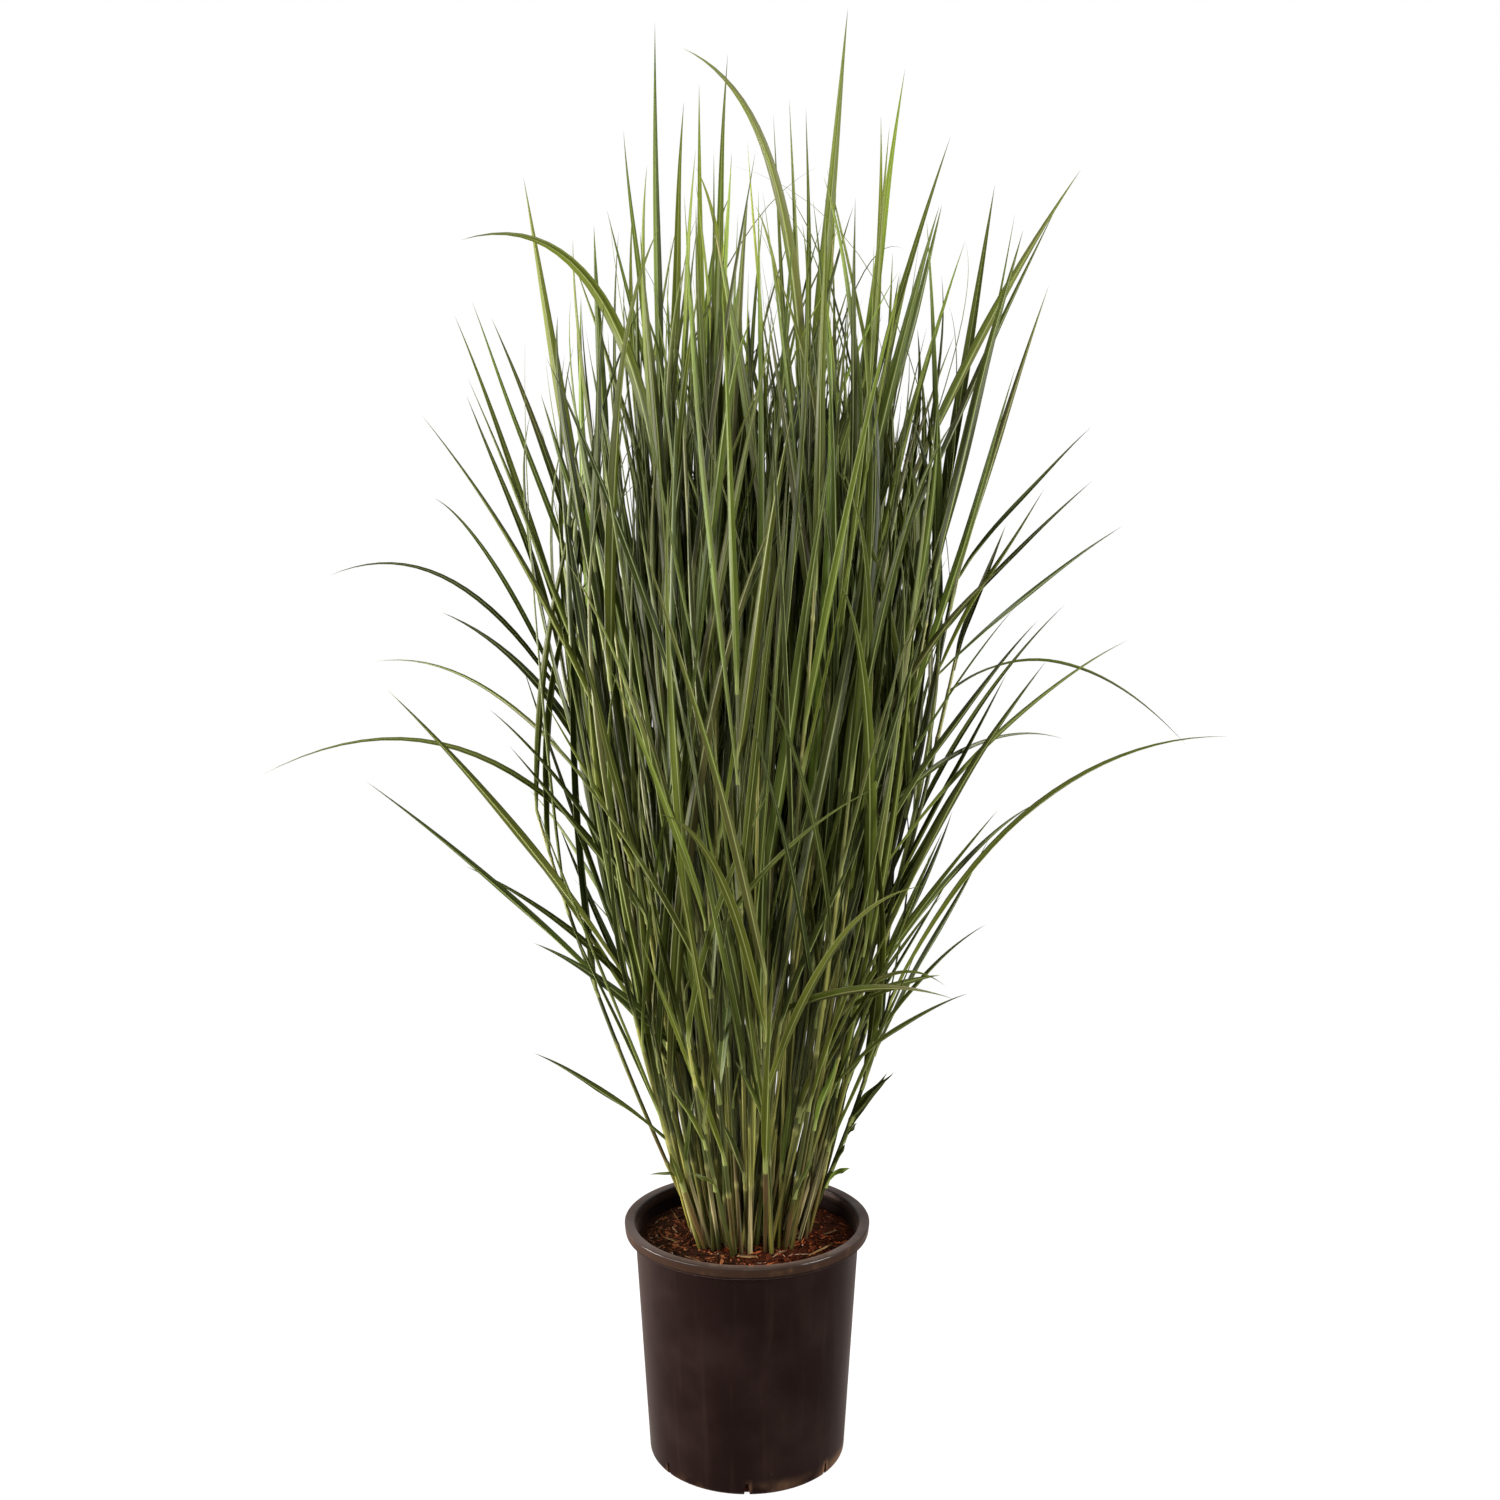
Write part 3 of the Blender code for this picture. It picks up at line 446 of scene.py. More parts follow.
class SoilSettings(bpy.types.PropertyGroup):
    chips: FloatProperty(name="Chips", description="Bark chips for each square metre",
                         default=30000)
    fibres: FloatProperty(name="Fibres", description="Coir fibres for each square metre",
                          default=12000)
    grains: FloatProperty(name="Perlite", description="Perlite grains for each square metre",
                          default=1000)
    dark: paint("Dark bark", "Darkest bark", (0.014, 0.0060, 0.0025))
    red: paint("Red bark", "Usual bark", (0.130, 0.048, 0.018))
    pale: paint("Pale bark", "Palest bark", (0.38, 0.23, 0.10))


class GrassSettings(bpy.types.PropertyGroup):
    stem_sides: IntProperty(name="Stem sides", description="Faces around a stem", default=8)
    blade_sides: IntProperty(name="Blade sides", description="Points around a blade", default=12)
    blade_rings: IntProperty(name="Blade rings", description="Rings along a blade", default=24)
    thickness: FloatProperty(name="Blade thickness", description="Thickness at the midrib",
                             default=0.0008, unit="LENGTH")
    shaded: paint("Blue-green", "Darkest blades", (0.054, 0.074, 0.012))
    middle: paint("Green", "Usual blades", (0.122, 0.160, 0.018))
    sunny: paint("Olive", "Lighter blades", (0.178, 0.216, 0.035))
    lime: paint("Lime", "Youngest blades", (0.185, 0.265, 0.028))
    dry: paint("Dry", "Withered tips and old sheaths", (0.33, 0.27, 0.13))
    purple: paint("Purple", "Tint of sheaths near the ground", (0.085, 0.040, 0.018))


class StageSettings(bpy.types.PropertyGroup):
    left: FloatProperty(name="Left light", description="Power of the light at the left",
                        default=124)
    right: FloatProperty(name="Right light", description="Power of the light at the right",
                         default=112)
    front: FloatProperty(name="Front light", description="Power of the light in front",
                         default=20)
    low: FloatProperty(name="Low light", description="Power of the low light at the left",
                       default=60)
    sky: FloatProperty(name="Surroundings", description="Brightness overhead", default=0.28)
    low_sky: FloatProperty(name="Low surroundings", description="Brightness at the horizon",
                           default=0.12)
    backdrop: FloatProperty(name="Backdrop", description="Brightness behind the plant",
                            default=0.30)


# Node trees

class Wire:
    """A node's output that sums can be written with. Numbers go through Math nodes, vectors
    and colours through Vector Math nodes."""

    def __init__(self, net, socket):
        self.net = net
        self.socket = socket

    def sibling(self, name):
        return Wire(self.net, self.socket.node.outputs[name])

    def part(self, name):
        apart = self.net.node("ShaderNodeSeparateXYZ", {}, {0: self})
        return apart.sibling(name)

    def __add__(self, other):
        return self.net.maths("ADD", self, other)

    def __sub__(self, other):
        return self.net.maths("SUBTRACT", self, other)

    def __rsub__(self, other):
        return self.net.maths("SUBTRACT", other, self)

    def __mul__(self, other):
        return self.net.maths("MULTIPLY", self, other)

    def __truediv__(self, other):
        return self.net.maths("DIVIDE", self, other)

    def __pow__(self, other):
        return self.net.maths("POWER", self, other)


class Net:
    """Adds nodes to one tree."""

    def __init__(self, tree):
        self.tree = tree

    def node(self, kind, settings=None, inputs=None, output=0):
        """Any node: its settings come first, then the values or links of its sockets."""
        made = self.tree.nodes.new(kind)
        for name, value in (settings or {}).items():
            if name == "stops":
                self.set_stops(made.color_ramp, value)
            else:
                setattr(made, name, value)
        for name, value in (inputs or {}).items():
            self.feed(made.inputs[name], value)
        return Wire(self, made.outputs[output]) if len(made.outputs) else made

    def set_stops(self, ramp, stops):
        while len(ramp.elements) < len(stops):
            ramp.elements.new(1.0)
        for element, (position, colour) in zip(ramp.elements, stops):
            element.position = position
            element.color = (*colour, 1.0)

    def feed(self, socket, value):
        if isinstance(value, Wire):
            self.tree.links.new(value.socket, socket)
            return
        if socket.type == "RGBA" and len(value) == 3:
            value = (*value, 1.0)
        if socket.type == "VECTOR" and isinstance(value, (int, float)):
            value = (value, value, value)
        socket.default_value = value

    def maths(self, operation, *terms):
        vector = any(isinstance(term, Wire) and term.socket.type in ("VECTOR", "RGBA")
                     for term in terms)
        kind = "ShaderNodeVectorMath" if vector else "ShaderNodeMath"
        return self.node(kind, {"operation": operation}, dict(enumerate(terms)))

    def step(self, value, start, end, low=0.0, high=1.0):
        """Goes smoothly from low to high as the value goes from start to end."""
        return self.node("ShaderNodeMapRange", {"interpolation_type": "SMOOTHSTEP"},
                         {"Value": value, "From Min": start, "From Max": end,
                          "To Min": low, "To Max": high})

    def mix(self, factor, one, two, blend="MIX"):
        return self.node("ShaderNodeMix", {"data_type": "RGBA", "blend_type": blend},
                         {0: factor, 6: one, 7: two}, output=2)

    def noise(self, place, scale, detail=3.0, roughness=0.55):
        return self.node("ShaderNodeTexNoise", {},
                         {"Vector": place, "Scale": scale, "Detail": detail,
                          "Roughness": roughness})

    def vector(self, x, y, z):
        return self.node("ShaderNodeCombineXYZ", {}, {0: x, 1: y, 2: z})


def material_net(name):
    """A material with no nodes yet, and the net that fills it."""
    material = bpy.data.materials.new(name)
    material.use_nodes = True
    material.node_tree.nodes.clear()
    return material, Net(material.node_tree)


def finish_material(net, shader):
    net.node("ShaderNodeOutputMaterial", {}, {"Surface": shader})


def finish_surface(net, values):
    """Ends a material with one principled surface."""
    finish_material(net, net.node("ShaderNodeBsdfPrincipled", {}, values))


def bumps(net, height, strength, distance):
    return net.node("ShaderNodeBump", {}, {"Strength": strength, "Distance": distance,
                                           "Height": height})


def object_place(net):
    return net.node("ShaderNodeTexCoord", {}, {}, output="Object")


def own_map(net, name):
    return net.node("ShaderNodeUVMap", {"uv_map": name})


def core_shade(net, place):
    """Painted shade: stems and blades near the clump's axis, below its leafy top, are darker, as
    the dense clump shades them.
    """
    height = place.part("Z")
    fan = (height - CROWN_HEIGHT) * FAN_SLOPE + FEET_RADIUS
    reach = net.maths("LENGTH", place * (1.0, 1.0, 0.0)) / fan
    shade = net.step(reach, 0.05, 0.55, 0.42, 1.0)
    return net.maths("MAXIMUM", shade, net.step(height, 0.84, 1.18))


# Finishes

def pot_finish(settings):
    """Satin black-brown plastic with scuffs, faint runs down the wall, a browner rim and soil
    washed out round the slots, a painted shadow under the rim band, and a rim edge that is lighter,
    partly with wear and partly with a painted highlight."""
    material, net = material_net("pot_satin_plastic")
    place = object_place(net)
    height = place.part("Z")
    clouds = net.noise(place, 14.0, 4.0)
    runs = net.noise(place * (90.0, 90.0, 5.0), 1.0, 3.0)
    scuffs = net.step(net.noise(place * (1.0, 1.0, 0.35), 240.0, 5.0, 0.7), 0.66, 0.78)
    paler = net.mix(net.step(clouds, 0.40, 0.72), tuple(settings.colour), CLOUDED)
    streaked = net.mix(net.step(runs, 0.52, 0.74) * 0.18, paler, RUN)
    band_low = POT_HEIGHT - BAND_HEIGHT
    rim = net.step(height, band_low + BAND_TUCK * 0.2, band_low + BAND_TUCK * 0.9)
    banded = net.mix(rim * 0.7, streaked, BROWN_BAND)
    flange = net.step(height, POT_HEIGHT - THROAT_DEPTH * 0.5, POT_HEIGHT - RIM_EDGE)
    topped = net.mix(flange * 0.9, banded, DARK_FLANGE)
    # A painted shadow in the tuck under the rim band.
    tuck = net.step(height, band_low - BAND_TUCK * 0.3, band_low)
    tuck = tuck * net.step(height, band_low + BAND_TUCK * 0.8, band_low + BAND_TUCK * 0.4)
    topped = net.mix(tuck * 0.9, topped, SHADED_TUCK)
    turn = net.maths("ARCTAN2", place.part("Y"), place.part("X")) + math.pi / 2
    beside_slot = net.maths("ABSOLUTE", net.maths("SINE", turn * (SLOT_COUNT / 2)))
    washed = net.step(beside_slot, 0.24, 0.06) * net.step(height, 0.019, 0.004)
    low = net.step(height, 0.017, 0.001) * net.step(clouds, 0.44, 0.66)
    stains = net.maths("MAXIMUM", washed * net.step(runs + clouds, 0.86, 1.10), low * 0.65)
    top_dust = rim * net.step(net.noise(place, 60.0, 4.0), 0.56, 0.75) * 0.22
    dusty = net.mix(net.maths("MAXIMUM", stains, top_dust), topped, tuple(settings.dust))
    # The rim's outer top edge: lighter, partly rubbed wear and partly a painted highlight, and
    # glossier with a coat.
    rim_top_band = net.step(height, POT_HEIGHT - RIM_EDGE * 2.5, POT_HEIGHT - RIM_EDGE * 0.6)
    outer = net.step(net.maths("LENGTH", place * (1.0, 1.0, 0.0)), RIM_RADIUS - 0.0018,
                     RIM_RADIUS - 0.0006)
    edge = rim_top_band * outer * net.step(clouds, 0.30, 0.60, 0.35, 1.0)
    rim_edge_lightened = net.mix(edge * 0.15, dusty, WORN_AND_HIGHLIT_EDGE)
    colour = net.mix(scuffs * 0.14, rim_edge_lightened, SCUFF)
    rough = net.step(clouds, 0.3, 0.75, 0.34, 0.50) + scuffs * 0.18 + (tuck + flange) * 0.30
    grain = net.noise(place, 1400.0, 2.0)
    bump = bumps(net, grain + runs * 1.5 + scuffs, 0.10, 0.0003)
    finish_surface(net, {
        "Base Color": colour, "Roughness": rough, "Normal": bump, "Specular IOR Level": 0.11,
        "Specular Tint": (1.0, 0.66, 0.60), "Sheen Weight": 0.17, "Sheen Roughness": 0.32,
        "Sheen Tint": (1.0, 0.66, 0.54), "Coat Weight": edge * 0.6, "Coat Roughness": 0.12})
    return material


def bark_stops(settings):
    return [(0.0, tuple(settings.dark)), (0.30, DARK_RED_BARK), (0.55, tuple(settings.red)),
            (0.86, TAN_BARK), (1.0, tuple(settings.pale))]


def red_patches(net, place):
    """Where the bark is redder: to the right and in front, as in the photo, in soft patches."""
    patches = net.noise(place, 30.0, 3.0)
    return net.step(patches + place.part("X") * 1.6 - place.part("Y") * 1.0, 0.42, 0.66)


def soil_finish(settings):
    """Damp coir and fine bark between the chips."""
    material, net = material_net("coir_and_fine_bark")
    place = object_place(net)
    crumbs = net.noise(place, 420.0, 5.0, 0.7)
    tone = net.step(crumbs, 0.36, 0.74) * 0.60
    bark = net.node("ShaderNodeValToRGB", {"stops": bark_stops(settings)}, {"Fac": tone})
    colour = bark * net.mix(red_patches(net, place), *FINE_BARK_TINTS)
    finish_surface(net, {
        "Base Color": colour, "Roughness": net.step(crumbs, 0.3, 0.8, 0.98, 0.82),
        "Normal": bumps(net, crumbs, 0.9, 0.002), "Specular IOR Level": 0.08})
    return material


def chip_finish(settings):
    """Bark from nearly black to pale tan, one tone for each chip, with the grain along it."""
    material, net = material_net("bark_chips")
    place = object_place(net)
    tone = own_map(net, "tone").part("X")
    grain = net.noise(place * (1.0, 1.0, 2.2), 900.0, 4.0, 0.65)
    mixed = tone * 0.84 + net.step(grain, 0.3, 0.75) * 0.18
    bark = net.node("ShaderNodeValToRGB", {"stops": bark_stops(settings)}, {"Fac": mixed})
    colour = bark * net.mix(red_patches(net, place), *CHIP_TINTS)
    finish_surface(net, {
        "Base Color": colour, "Roughness": net.step(grain, 0.3, 0.8, 0.92, 0.74),
        "Normal": bumps(net, grain, 0.6, 0.0006), "Specular IOR Level": 0.14})
    return material


def plain_finish(name):
    """Perlite, dry straw or a dead leaf: one light material with fine spots."""
    material, net = material_net(name)
    one, two, scale = PLAIN_LITTER[name]
    spots = net.noise(object_place(net), scale, 4.0, 0.6)
    finish_surface(net, {
        "Base Color": net.mix(net.step(spots, 0.35, 0.7), one, two),
        "Roughness": net.step(spots, 0.3, 0.8, 0.9, 0.7),
        "Normal": bumps(net, spots, 0.5, 0.0004)})
    return material


def leaf_finish(settings):
    """A blade: fine veins along it, a pale midrib and collar, a tint and a brightness of its own,
    painted shade near the clump's core and, on some, a withered tip. Light shines through it a
    little."""
    material, net = material_net("switchgrass_leaf")
    across = own_map(net, "leaf").part("X")
    along = own_map(net, "leaf").part("Y")
    tint = own_map(net, "tone").part("X")
    age = own_map(net, "tone").part("Y")
    side = net.maths("ABSOLUTE", across * 2.0 - 1.0)
    drift = net.noise(net.vector(across * 1.6, along * 3.0, tint * 57.0), 1.0, 4.0)
    streaks = net.noise(net.vector(across * 4.5, along * 1.1, tint * 91.0), 1.0, 3.0, 0.6)
    veins = net.noise(net.vector(across * 13.0, along * 1.6, tint * 33.0), 1.0, 1.0, 0.5)
    hue = net.noise(net.vector(tint * 137.0, 5.0, 2.0), 1.0, 0.0)

    body = net.node("ShaderNodeValToRGB", {"stops": [
        (0.0, tuple(settings.shaded)), (0.45, tuple(settings.middle)),
        (0.78, tuple(settings.sunny)), (1.0, tuple(settings.lime))]},
        {"Fac": tint + (drift - 0.5) * 0.36})
    hued = body * net.mix(net.step(hue, 0.40, 0.60), *BLADE_HUES)
    value = net.noise(net.vector(tint * 61.0, 9.0, 4.0), 1.0, 0.0)
    light = net.step(streaks, 0.36, 0.64) * 0.50 + net.step(veins, 0.35, 0.65) * 0.30
    # Each blade's own random brightness, times the painted shade near the clump's core.
    blade_tone_and_core_shade = net.step(value, 0.36, 0.64, 0.56, 1.40) * core_shade(net, object_place(net))
    veined = hued * (light + 0.60) * blade_tone_and_core_shade
    bronze = net.step(age, 0.12, 0.20) * net.step(drift, 0.42, 0.58)
    dusky = net.mix(bronze * 0.5, veined, BRONZE)
    ribbed = net.mix(net.step(side, 0.16, 0.05) * 0.70, dusky, MIDRIB)
    edged = net.mix(net.step(side, 0.90, 0.98) * 0.30, ribbed, MARGIN)
    collared = net.mix(net.step(along, 0.05, 0.0) * 0.45, edged, COLLAR)
    tip = net.step(along + drift * 0.12 + age * 0.42, 1.22, 1.34)
    colour = net.mix(net.maths("MULTIPLY", tip, net.step(age, 0.25, 0.5)), collared,
                     tuple(settings.dry))
    rough = net.step(streaks, 0.3, 0.75, 0.34, 0.50) + tip * 0.1
    bump = bumps(net, streaks + veins * 0.5, 0.5, 0.0004)
    surface = net.node("ShaderNodeBsdfPrincipled", {}, {
        "Base Color": colour, "Roughness": rough, "Normal": bump, "Specular IOR Level": 0.22})
    glow = net.node("ShaderNodeBsdfTranslucent", {}, {
        "Color": net.mix(0.35, colour, BLADE_GLOW), "Normal": bump})
    finish_material(net, net.node("ShaderNodeMixShader", {}, {0: 0.15, 1: surface, 2: glow}))
    return material


def stem_finish(settings):
    """A stem in its sheaths: light and dark lines along it, the light ones in part painted
    highlights;
    pale nodes; painted shade near the clump's core; colour that turns darker and browner towards
    the ground, partly painted shade; and dry purple-brown sheaths towards the ground."""
    material, net = material_net("switchgrass_stem")
    around = own_map(net, "leaf").part("X")
    along = own_map(net, "leaf").part("Y")
    tint = own_map(net, "tone").part("X")
    node = own_map(net, "tone").part("Y")
    height = object_place(net).part("Z")
    lines = net.noise(net.vector(around * 6.0, along * 4.0, tint * 73.0), 1.0, 3.0, 0.6)
    patches = net.noise(net.vector(around * 1.3, along * 16.0, tint * 41.0), 1.0, 3.0)
    green = net.mix(net.step(tint, 0.3, 0.95), DARK_STEM, PALE_STEM)
    # Light and dark lines along the stem, the light ones in part painted highlights, then painted
    # shade near the clump's core.
    lines_and_painted_light = green * (net.step(lines, 0.36, 0.64) * 1.20 + 0.40)
    lines_and_painted_light = lines_and_painted_light * core_shade(net, object_place(net))
    # Darker and browner towards the ground: partly the browner colour of the stems' feet, partly
    # painted shade where the clump is densest.
    foot = net.step(height, CROWN_HEIGHT + 0.12, CROWN_HEIGHT)
    lines_and_painted_light = lines_and_painted_light * net.mix(foot, UNTINTED, FOOT_SHADE_AND_TINT)
    shaded = net.mix(net.step(patches, 0.55, 0.30) * 0.55, lines_and_painted_light, STEM_PATCH)
    pick = net.noise(net.vector(tint * 53.0, 7.0, 1.0), 1.0, 0.0)
    low = net.step(height, 0.36, CROWN_HEIGHT + 0.03) * net.step(pick, 0.52, 0.62)
    dyed = net.mix(low * net.step(patches + lines * 0.4, 0.54, 0.80) * 0.8, shaded,
                   tuple(settings.purple))
    old = net.step(height, 0.33, CROWN_HEIGHT + 0.02) * net.step(pick, 0.44, 0.38)
    dried = net.mix(old * net.step(lines + patches * 0.5, 0.62, 0.84), dyed,
                    tuple(settings.dry))
    colour = net.mix(node * 0.30, dried, STEM_NODE)
    finish_surface(net, {
        "Base Color": colour, "Roughness": net.step(lines, 0.3, 0.75, 0.32, 0.52),
        "Normal": bumps(net, lines, 0.5, 0.0004), "Specular IOR Level": 0.48})
    return material


# Geometry trees

def geometry_net(name, inputs):
    """A geometry tree with named inputs. It returns the tree, its net and its input node."""
    tree = bpy.data.node_groups.new(name, "GeometryNodeTree")
    tree.interface.new_socket("Geometry", in_out="INPUT", socket_type="NodeSocketGeometry")
    tree.interface.new_socket("Geometry", in_out="OUTPUT", socket_type="NodeSocketGeometry")
    for label, kind in inputs.items():
        tree.interface.new_socket(label, in_out="INPUT", socket_type=kind)
    net = Net(tree)
    return tree, net, net.node("NodeGroupInput")


def add_object(name, data):
    """A new object at the scene's origin."""
    thing = bpy.data.objects.new(name, data)
    bpy.context.scene.collection.objects.link(thing)
    return thing


def mesh_from(bm, name):
    """Ends a bmesh: its mesh."""
    mesh = bpy.data.meshes.new(name)
    bm.to_mesh(mesh)
    bm.free()
    return mesh


def through_nodes(name, source, tree, values, cutter=None):
    """The mesh that a tree, and after it a cutter, make of another mesh."""
    carrier = add_object(name, source)
    modifier = carrier.modifiers.new("nodes", "NODES")
    modifier.node_group = tree
    for item in tree.interface.items_tree:
        if item.in_out == "INPUT" and item.name in values:
            modifier[item.identifier] = values[item.name]
    if cutter:
        cut = carrier.modifiers.new("cut", "BOOLEAN")
        cut.operation = "DIFFERENCE"
        cut.object = cutter
    depsgraph = bpy.context.evaluated_depsgraph_get()
    mesh = bpy.data.meshes.new_from_object(carrier.evaluated_get(depsgraph),
                                           preserve_all_data_layers=True, depsgraph=depsgraph)
    bpy.data.objects.remove(carrier)
    if cutter:
        bpy.data.objects.remove(cutter)
    return mesh


def named(net, name, kind="FLOAT"):
    return net.node("GeometryNodeInputNamedAttribute", {"data_type": kind}, {"Name": name})


def stored(net, geometry, name, value, kind="FLOAT2", domain="CORNER"):
    return net.node("GeometryNodeStoreNamedAttribute", {"data_type": kind, "domain": domain},
                    {"Geometry": geometry, "Name": name, "Value": value})


def finished(net, geometry, materials):
    """Ends a tree: real geometry, shaded smooth, with each material on its own selection."""
    smooth = net.node("GeometryNodeSetShadeSmooth", {}, {"Geometry": geometry})
    shown = net.node("GeometryNodeRealizeInstances", {}, {"Geometry": smooth})
    for material, selection in materials:
        values = {"Geometry": shown, "Material": material}
        if selection is not None:
            values["Selection"] = selection
        shown = net.node("GeometryNodeSetMaterial", {}, values)
    net.node("NodeGroupOutput", {}, {"Geometry": shown})


def add_piece(name, mesh, replaced=None):
    """Puts a finished mesh in the scene as a piece of the object."""
    mesh.name = name
    piece = add_object(name, mesh)
    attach(piece, "root")
    if replaced:
        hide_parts(replaced)


# Pot

def wall_radius(height):
    top = POT_HEIGHT - BAND_HEIGHT
    return BASE_RADIUS + (WALL_TOP_RADIUS - BASE_RADIUS) * height / top


def rounded(points, radius, steps):
    """The same open outline with every corner eased by a short curve."""
    outline = [points[0]]
    for before, corner, after in zip(points, points[1:], points[2:]):
        ends = []
        for other in (before, after):
            away = other - corner
            ends.append(corner + away.normalized() * min(radius, away.length * 0.45))
        for index in range(steps + 1):
            outline.append(curve_point((ends[0], corner, ends[1]), index / steps))
    outline.append(points[-1])
    return outline


def pot_outline():
    """From the axis along the underside, up the outside, over the rim and down to the floor."""
    band_low = POT_HEIGHT - BAND_HEIGHT
    foot = []
    for degrees in range(0, 91, 15):
        turn = math.radians(degrees)
        foot.append((BASE_RADIUS - FOOT_ROUND + FOOT_ROUND * math.sin(turn),
                     FOOT_ROUND - FOOT_ROUND * math.cos(turn)))
    shell = [
        (wall_radius(band_low), band_low),
        (RIM_RADIUS - BAND_TUCK * 0.5, band_low),
        (RIM_RADIUS - RIM_EDGE, band_low + BAND_TUCK * 0.5),
        (RIM_RADIUS, POT_HEIGHT),
        (RIM_RADIUS - FLANGE_WIDTH, POT_HEIGHT - RIM_EDGE * 0.5),
        (wall_radius(POT_HEIGHT - THROAT_DEPTH) - WALL, POT_HEIGHT - THROAT_DEPTH),
        (wall_radius(FLOOR) - WALL, FLOOR),
        (0, FLOOR),
    ]
    eased = rounded([Vector(foot[-1])] + [Vector(point) for point in shell], RIM_ROUND, 4)
    return [Vector((0, 0))] + [Vector(point) for point in foot[:-1]] + eased


def turned_tree():
    """Turns an outline drawn in the XZ plane about the Z axis."""
    tree, net, start = geometry_net("turned", {"Sides": "NodeSocketInt",
                                               "Finish": "NodeSocketMaterial"})
    circle = net.node("GeometryNodeCurvePrimitiveCircle", {},
                      {"Resolution": start.sibling("Sides"), "Radius": 1.0})
    place = net.node("GeometryNodeInputPosition")
    ring = stored(net, circle, "way", place, "FLOAT_VECTOR", "POINT")
    outline = stored(net, net.node("GeometryNodeMeshToCurve", {}, {"Mesh": start}),
                     "outline", place, "FLOAT_VECTOR", "POINT")
    sheet = net.node("GeometryNodeCurveToMesh", {}, {"Curve": ring, "Profile Curve": outline})
    way = named(net, "way", "FLOAT_VECTOR")
    point = named(net, "outline", "FLOAT_VECTOR")
    reach = point.part("X")
    moved = net.node("GeometryNodeSetPosition", {}, {
        "Geometry": sheet,
        "Position": net.vector(way.part("X") * reach, way.part("Y") * reach, point.part("Z"))})
    merged = net.node("GeometryNodeMergeByDistance", {},
                      {"Geometry": moved, "Distance": 0.00001})
    finished(net, merged, [(start.sibling("Finish"), None)])
    return tree


def line_mesh(name, points):
    mesh = bpy.data.meshes.new(name)
    mesh.from_pydata(points, [(index, index + 1) for index in range(len(points) - 1)], [])
    return mesh


def slot_cutter():
    """One wedge for each drain slot, wide at the underside and narrow at the top."""
    bm = bmesh.new()
    for index in range(SLOT_COUNT):
        turn = -math.pi / 2 + 2 * math.pi * index / SLOT_COUNT
        outward = Vector((math.cos(turn), math.sin(turn), 0))
        across = Vector((-math.sin(turn), math.cos(turn), 0))
        corners = []
        for height, width in ((-WALL, SLOT_WIDTH), (SLOT_HEIGHT, SLOT_TOP_WIDTH)):
            for radius, side in ((BASE_RADIUS - SLOT_DEPTH, -1), (BASE_RADIUS + SLOT_DEPTH, -1),
                                 (BASE_RADIUS + SLOT_DEPTH, 1), (BASE_RADIUS - SLOT_DEPTH, 1)):
                place = outward * radius + across * (side * width / 2)
                corners.append(bm.verts.new((place.x, place.y, height)))
        for face in ((0, 3, 2, 1), (4, 5, 6, 7), (0, 1, 5, 4), (1, 2, 6, 5), (2, 3, 7, 6),
                     (3, 0, 4, 7)):
            bm.faces.new([corners[corner] for corner in face])
    bmesh.ops.recalc_face_normals(bm, faces=bm.faces)
    return add_object("slot_cutter", mesh_from(bm, "slot_cutter"))


def faces_out(mesh):
    """Turns a closed mesh the right way round."""
    bm = bmesh.new()
    bm.from_mesh(mesh)
    bmesh.ops.recalc_face_normals(bm, faces=bm.faces)
    if bm.calc_volume(signed=True) < 0:
        bmesh.ops.reverse_faces(bm, faces=bm.faces)
    bm.to_mesh(mesh)
    bm.free()


class SWITCHGRASS_OT_pot(bpy.types.Operator):
    """Turn the pot and cut its drain slots"""
    bl_idname = "switchgrass.pot"
    bl_label = "Pot"

    def execute(self, context):
        settings = context.scene.switchgrass_pot
        outline = line_mesh("pot_outline", [(point.x, 0, point.y) for point in pot_outline()])
        mesh = through_nodes("pot_outline", outline, turned_tree(),
                             {"Sides": settings.sides, "Finish": pot_finish(settings)},
                             slot_cutter())
        drop_attributes(mesh, ("way", "outline"))
        faces_out(mesh)
        mesh.set_sharp_from_angle(angle=math.radians(40))
        add_piece("nursery_pot", mesh, "pot")
        return {"FINISHED"}


def drop_attributes(mesh, names):
    for name in names:
        attribute = mesh.attributes.get(name)
        if attribute:
            mesh.attributes.remove(attribute)


# Growing mix

def soil_height(x, y):
    """The top of the mix: a low mound with lumps that fade out at the stems' crown."""
    reach = math.hypot(x, y)
    edge = wall_radius(SOIL_EDGE) - WALL - GAP
    share = min(1.0, max(0.0, (edge - reach) / (edge - CROWN_RADIUS)))
    mound = SOIL_EDGE + (CROWN_HEIGHT - SOIL_EDGE) * math.sin(share * math.pi / 2)
    place = Vector((x, y, 0))
    lumps = noise.fractal(place * 75.0, 0.8, 2.0, 4) * SOIL_LUMP
    return mound + lumps * (0.35 + 0.65 * min(1.0, (1 - share) * 4))


def ring_at(bm, reach, height=None):
    """A level ring, or one that follows the top of the mix where no height is given."""
    ring = []
    for spoke in range(SOIL_SPOKES):
        turn = 2 * math.pi * spoke / SOIL_SPOKES
        x, y = reach * math.cos(turn), reach * math.sin(turn)
        ring.append(bm.verts.new((x, y, soil_height(x, y) if height is None else height)))
    return ring


def bridge(bm, rings):
    """Joins each ring to the next with faces."""
    for one, two in zip(rings, rings[1:]):
        for corner in range(len(one)):
            after = (corner + 1) % len(one)
            bm.faces.new((one[corner], two[corner], two[after], one[after]))


